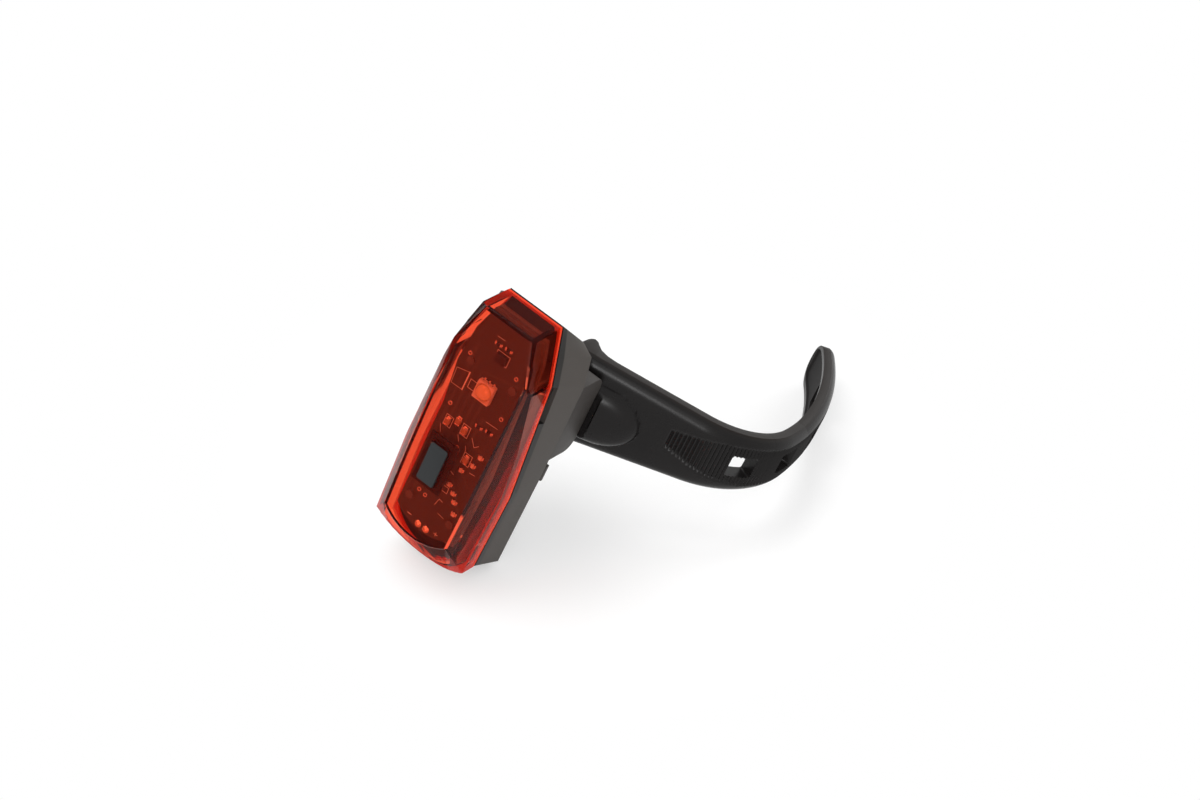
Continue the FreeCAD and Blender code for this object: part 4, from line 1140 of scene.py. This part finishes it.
def drawnUp(name, middle, rings, vertices=32):
    # a disc on the board drawn forwards in rings: radius and height of each
    clearSelection()
    bpy.ops.mesh.primitive_circle_add(
        vertices=vertices, radius=rings[0][0] * mm, fill_type="NGON",
        location=[value * mm for value in middle], rotation=(math.pi / 2, 0, 0),
    )
    piece = bpy.context.object
    piece.name = name
    settle(piece)
    bpy.ops.object.mode_set(mode="EDIT")
    bpy.ops.mesh.select_all(action="SELECT")
    for (radius, height), (nextRadius, nextHeight) in zip(rings, rings[1:]):
        step = (0, -(nextHeight - height) * mm, 0)
        bpy.ops.mesh.extrude_region_move(TRANSFORM_OT_translate={"value": step})
        centre = [middle[0] * mm, (middle[1] - nextHeight) * mm, middle[2] * mm]
        scale = nextRadius / radius
        bpy.ops.transform.resize(value=(scale, 1, scale), center_override=centre)
    faceOutwards()
    smoothBy(piece, 60)
    return piece


ledPackage = {
    "middle": (0.35, 4.9),
    "width": 4.8,
    "narrower": 0.3,  # how much less it measures sideways
    "height": 1.6,
    "corner": 0.18,
    "cup": (2.3, 1.95),  # radius at the rim and at the floor of the cup
    "depth": 0.7,
    "leg": (0.75, 0.5, 0.34),  # length, width and thickness of each terminal
    "legTuck": 0.2,  # how much of it lies under the package
    "pitch": 1.3,
    "notch": 0.8,
    "dome": (
        (1.9, 0.0), (1.88, 0.35), (1.8, 0.68), (1.64, 0.96),
        (1.4, 1.2), (1.08, 1.38), (0.7, 1.51), (0.3, 1.575),
    ),
}


def makeLed(white, epoxy, tin):
    x, z = ledPackage["middle"]
    face = printedMarks["face"]
    half, high = ledPackage["width"] / 2, ledPackage["height"]
    size = (half * 2 - ledPackage["narrower"], high, half * 2)
    body = roundedBlock("ledPackage", (x, face - high / 2, z), size, ledPackage["corner"], 3)
    clearSelection()
    rim, bottom = ledPackage["cup"]
    depth = ledPackage["depth"]
    # the cutter for the cup stands a hair proud of the package
    bpy.ops.mesh.primitive_cone_add(
        vertices=48, radius1=bottom * mm, radius2=rim * mm, depth=(depth + 0.02) * mm,
        location=(x * mm, (face - high + depth / 2 - 0.01) * mm, z * mm), rotation=(math.pi / 2, 0, 0),
    )
    combine(body, "DIFFERENCE", bpy.context.object)
    corner = (x - half, face - high, z + half)
    notch = roundedBlock("ledNotch", corner, (ledPackage["notch"],) * 3, 0)
    combine(body, "DIFFERENCE", notch)
    smoothBy(body, 35)
    finishPiece(body, "front_unit", white, "led_plastic", "main_led")
    long, wide, thick = ledPackage["leg"]
    legs = []
    for side in (-1, 1):
        for row in (-1, 0, 1):
            across = x + row * ledPackage["pitch"]
            out = half + long / 2 - ledPackage["legTuck"]
            place = (across, face - thick / 2, z + side * out)
            legs.append(roundedBlock("ledLeg", place, (wide, thick, long), 0.1, 2))
            place = (across, face - high * 0.35, z + side * (half + 0.02))
            legs.append(roundedBlock("ledShoulder", place, (wide * 0.9, high * 0.6, 0.24), 0.06, 2))
    finishJoined("ledTerminals", legs, tin, "solder")
    dome = drawnUp("ledDome", (x, face - high + depth, z), ledPackage["dome"], 40)
    finishPiece(dome, "front_unit", epoxy, "led_epoxy", "led_dome")


blobs = {
    "x": 1.15,
    "z": -35.25,
    "rings": ((0.93, 0.0), (0.9, 0.08), (0.72, 0.2), (0.6, 0.36), (0.46, 0.52), (0.2, 0.59)),
}


def makeSolderBlobs(tin):
    pieces = []
    for side in (-1, 1):
        middle = (blobs["x"] * side, printedMarks["face"], blobs["z"])
        pieces.append(drawnUp("solderBlob", middle, blobs["rings"]))
    finishPiece(joinPieces("solderBlobs", pieces), "front_unit", tin, "solder", "solder_joints")


springWire = {
    "thick": 0.42,
    "sides": 10,
    "turns": 2.6,
    "steps": 26,  # in each turn
    "taper": 0.34,  # how much narrower the end at the cell is
}


def makeSpring(name, node, material, wideFoot):
    # a wire circle screwed up along its axis, then drawn in towards the cell's end
    low, high = [Vector(corner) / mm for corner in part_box(node)]
    middle = (low + high) / 2
    thick = springWire["thick"]
    wide = (high.x - low.x) / 2 - thick / 2
    rise = (high.z - low.z) - thick
    clearSelection()
    bpy.ops.mesh.primitive_circle_add(
        vertices=springWire["sides"], radius=thick / 2 * mm, fill_type="NOTHING",
        location=(wide * mm, 0, 0), rotation=(math.pi / 2, 0, 0),
    )
    piece = bpy.context.object
    piece.name = name
    settle(piece)
    screw = piece.modifiers.new("Coil", "SCREW")
    screw.angle = 2 * math.pi * springWire["turns"]
    screw.screw_offset = rise * mm
    screw.steps = screw.render_steps = int(springWire["steps"] * springWire["turns"])
    screw.use_normal_calculate = True
    applyAll(piece)
    bpy.ops.object.mode_set(mode="EDIT")
    bpy.ops.mesh.select_all(action="SELECT")
    bpy.ops.mesh.edge_face_add()
    faceOutwards()
    for vertex in piece.data.vertices:
        spread = math.hypot(vertex.co.x, vertex.co.y)
        share = min(1.0, max(0.0, vertex.co.z / mm / rise))
        share = share if wideFoot else 1 - share
        narrow = 1 - springWire["taper"] * share * wide * mm / spread
        vertex.co.x *= narrow
        vertex.co.y *= narrow
    piece.location = Vector((middle.x, middle.y, low.z + thick / 2)) * mm
    smoothBy(piece, 50)
    return finishPiece(piece, "front_unit", material, "spring_steel", node)


rubber = rubberFinish("strapRubber")
housingPlastic = housingFinish("housingPlastic", (0.044, 0.0385, 0.0345))
bracketPlastic = housingFinish("bracketPlastic", (0.029, 0.0252, 0.0230))
buttonPlastic = plasticFinish("buttonPlastic", (0.0105, 0.0120, 0.0130), 0.42, 5.0, 0.015, wear=0.02)
carrierPlastic = plasticFinish("carrierPlastic", (0.10, 0.10, 0.10), 0.45, 4.0, 0.02, wear=0.02)
boardInk = plasticFinish("boardInk", (0.78, 0.77, 0.72), 0.6, 8.0, 0.004, wear=0.01)
nickel = metalFinish("nickelPlate", (0.72, 0.70, 0.66), 0.28)
solderMetal = metalFinish("solderTin", (0.80, 0.80, 0.80), 0.22, 1.5)
chipBlack = plasticFinish("chipPlastic", (0.018, 0.018, 0.019), 0.5, 12.0, 0.008, wear=0.01)
chipCeramic = plasticFinish("chipCeramic", (0.42, 0.30, 0.18), 0.5, 10.0, 0.01, wear=0.02)
ledWhite = plasticFinish("ledBody", (0.80, 0.78, 0.72), 0.3, 6.0, 0.006, wear=0.01, coat=0.3)
ledEpoxy = plasticFinish("ledEpoxy", (0.85, 0.78, 0.50), 0.12, 3.0, 0.004, wear=0.01, coat=0.6)
cellLeft = cellFinish("cellSleeveLeft", "battery_cell_left", True)
cellRight = cellFinish("cellSleeveRight", "battery_cell_right", False)
redLens = lensFinish()
boardMask = boardFinish()

makeLens(redLens)
print("lens ready")
softenSolid("rear_housing", "rearHousing", "lamp", housingPlastic, "dark_housing", 0.35, 2, 14)
softenSolid("bracket_plate", "bracketBlock", "mount", bracketPlastic, "dark_housing", 0.9, 4)
softenSolid("release_latch", "releaseLatch", "latch", bracketPlastic, "dark_housing", 0.25)
softenSolid("strap_hook", "strapHook", "mount", housingPlastic, "dark_housing", 0.35, 3)
softenSolid("push_button", "pushButton", "button", buttonPlastic, "button_plastic", 0.25, 3)
print("housing ready")
makePrint(boardInk)
makeBoardParts({"resistors": chipBlack, "capacitors": chipCeramic, "diodes": ledWhite}, solderMetal)
makeLed(ledWhite, ledEpoxy, solderMetal)
makeSolderBlobs(solderMetal)
makeSpring("springLeft", "contact_spring_left", nickel, True)
makeSpring("springRight", "contact_spring_right", nickel, False)
softenSolid("battery_carrier", "batteryCarrier", "front_unit", carrierPlastic, "carrier_plastic", 0.15)
softenSolid("clamp_plate", "clampPlate", "mount", nickel, "spring_steel", 0.2, 3)
softenSolid("bracket_screw", "bracketScrew", "mount", nickel, "spring_steel", 0.12, 3)
softenSolid("slide_rail", "slideRail", "lamp", housingPlastic, "dark_housing", 0.2, 2)
print("board ready")
makeStrap(rubber)
print("strap ready")

nodeFinishes = {
    "circuit_board": boardMask,
    "battery_cell_left": cellLeft,
    "battery_cell_right": cellRight,
    "contact_bridge": nickel,
    "negative_contact": nickel,
    "positive_contact": nickel,
    "controller_chip": chipBlack,
    "tact_switch": chipBlack,
    "switch_plunger": buttonPlastic,
    "button_boot": rubber,
    "housing_seal": rubber,
    "latch_pin": nickel,
}
for node, material in nodeFinishes.items():
    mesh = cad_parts[node].data
    mesh.materials.clear()
    mesh.materials.append(material)
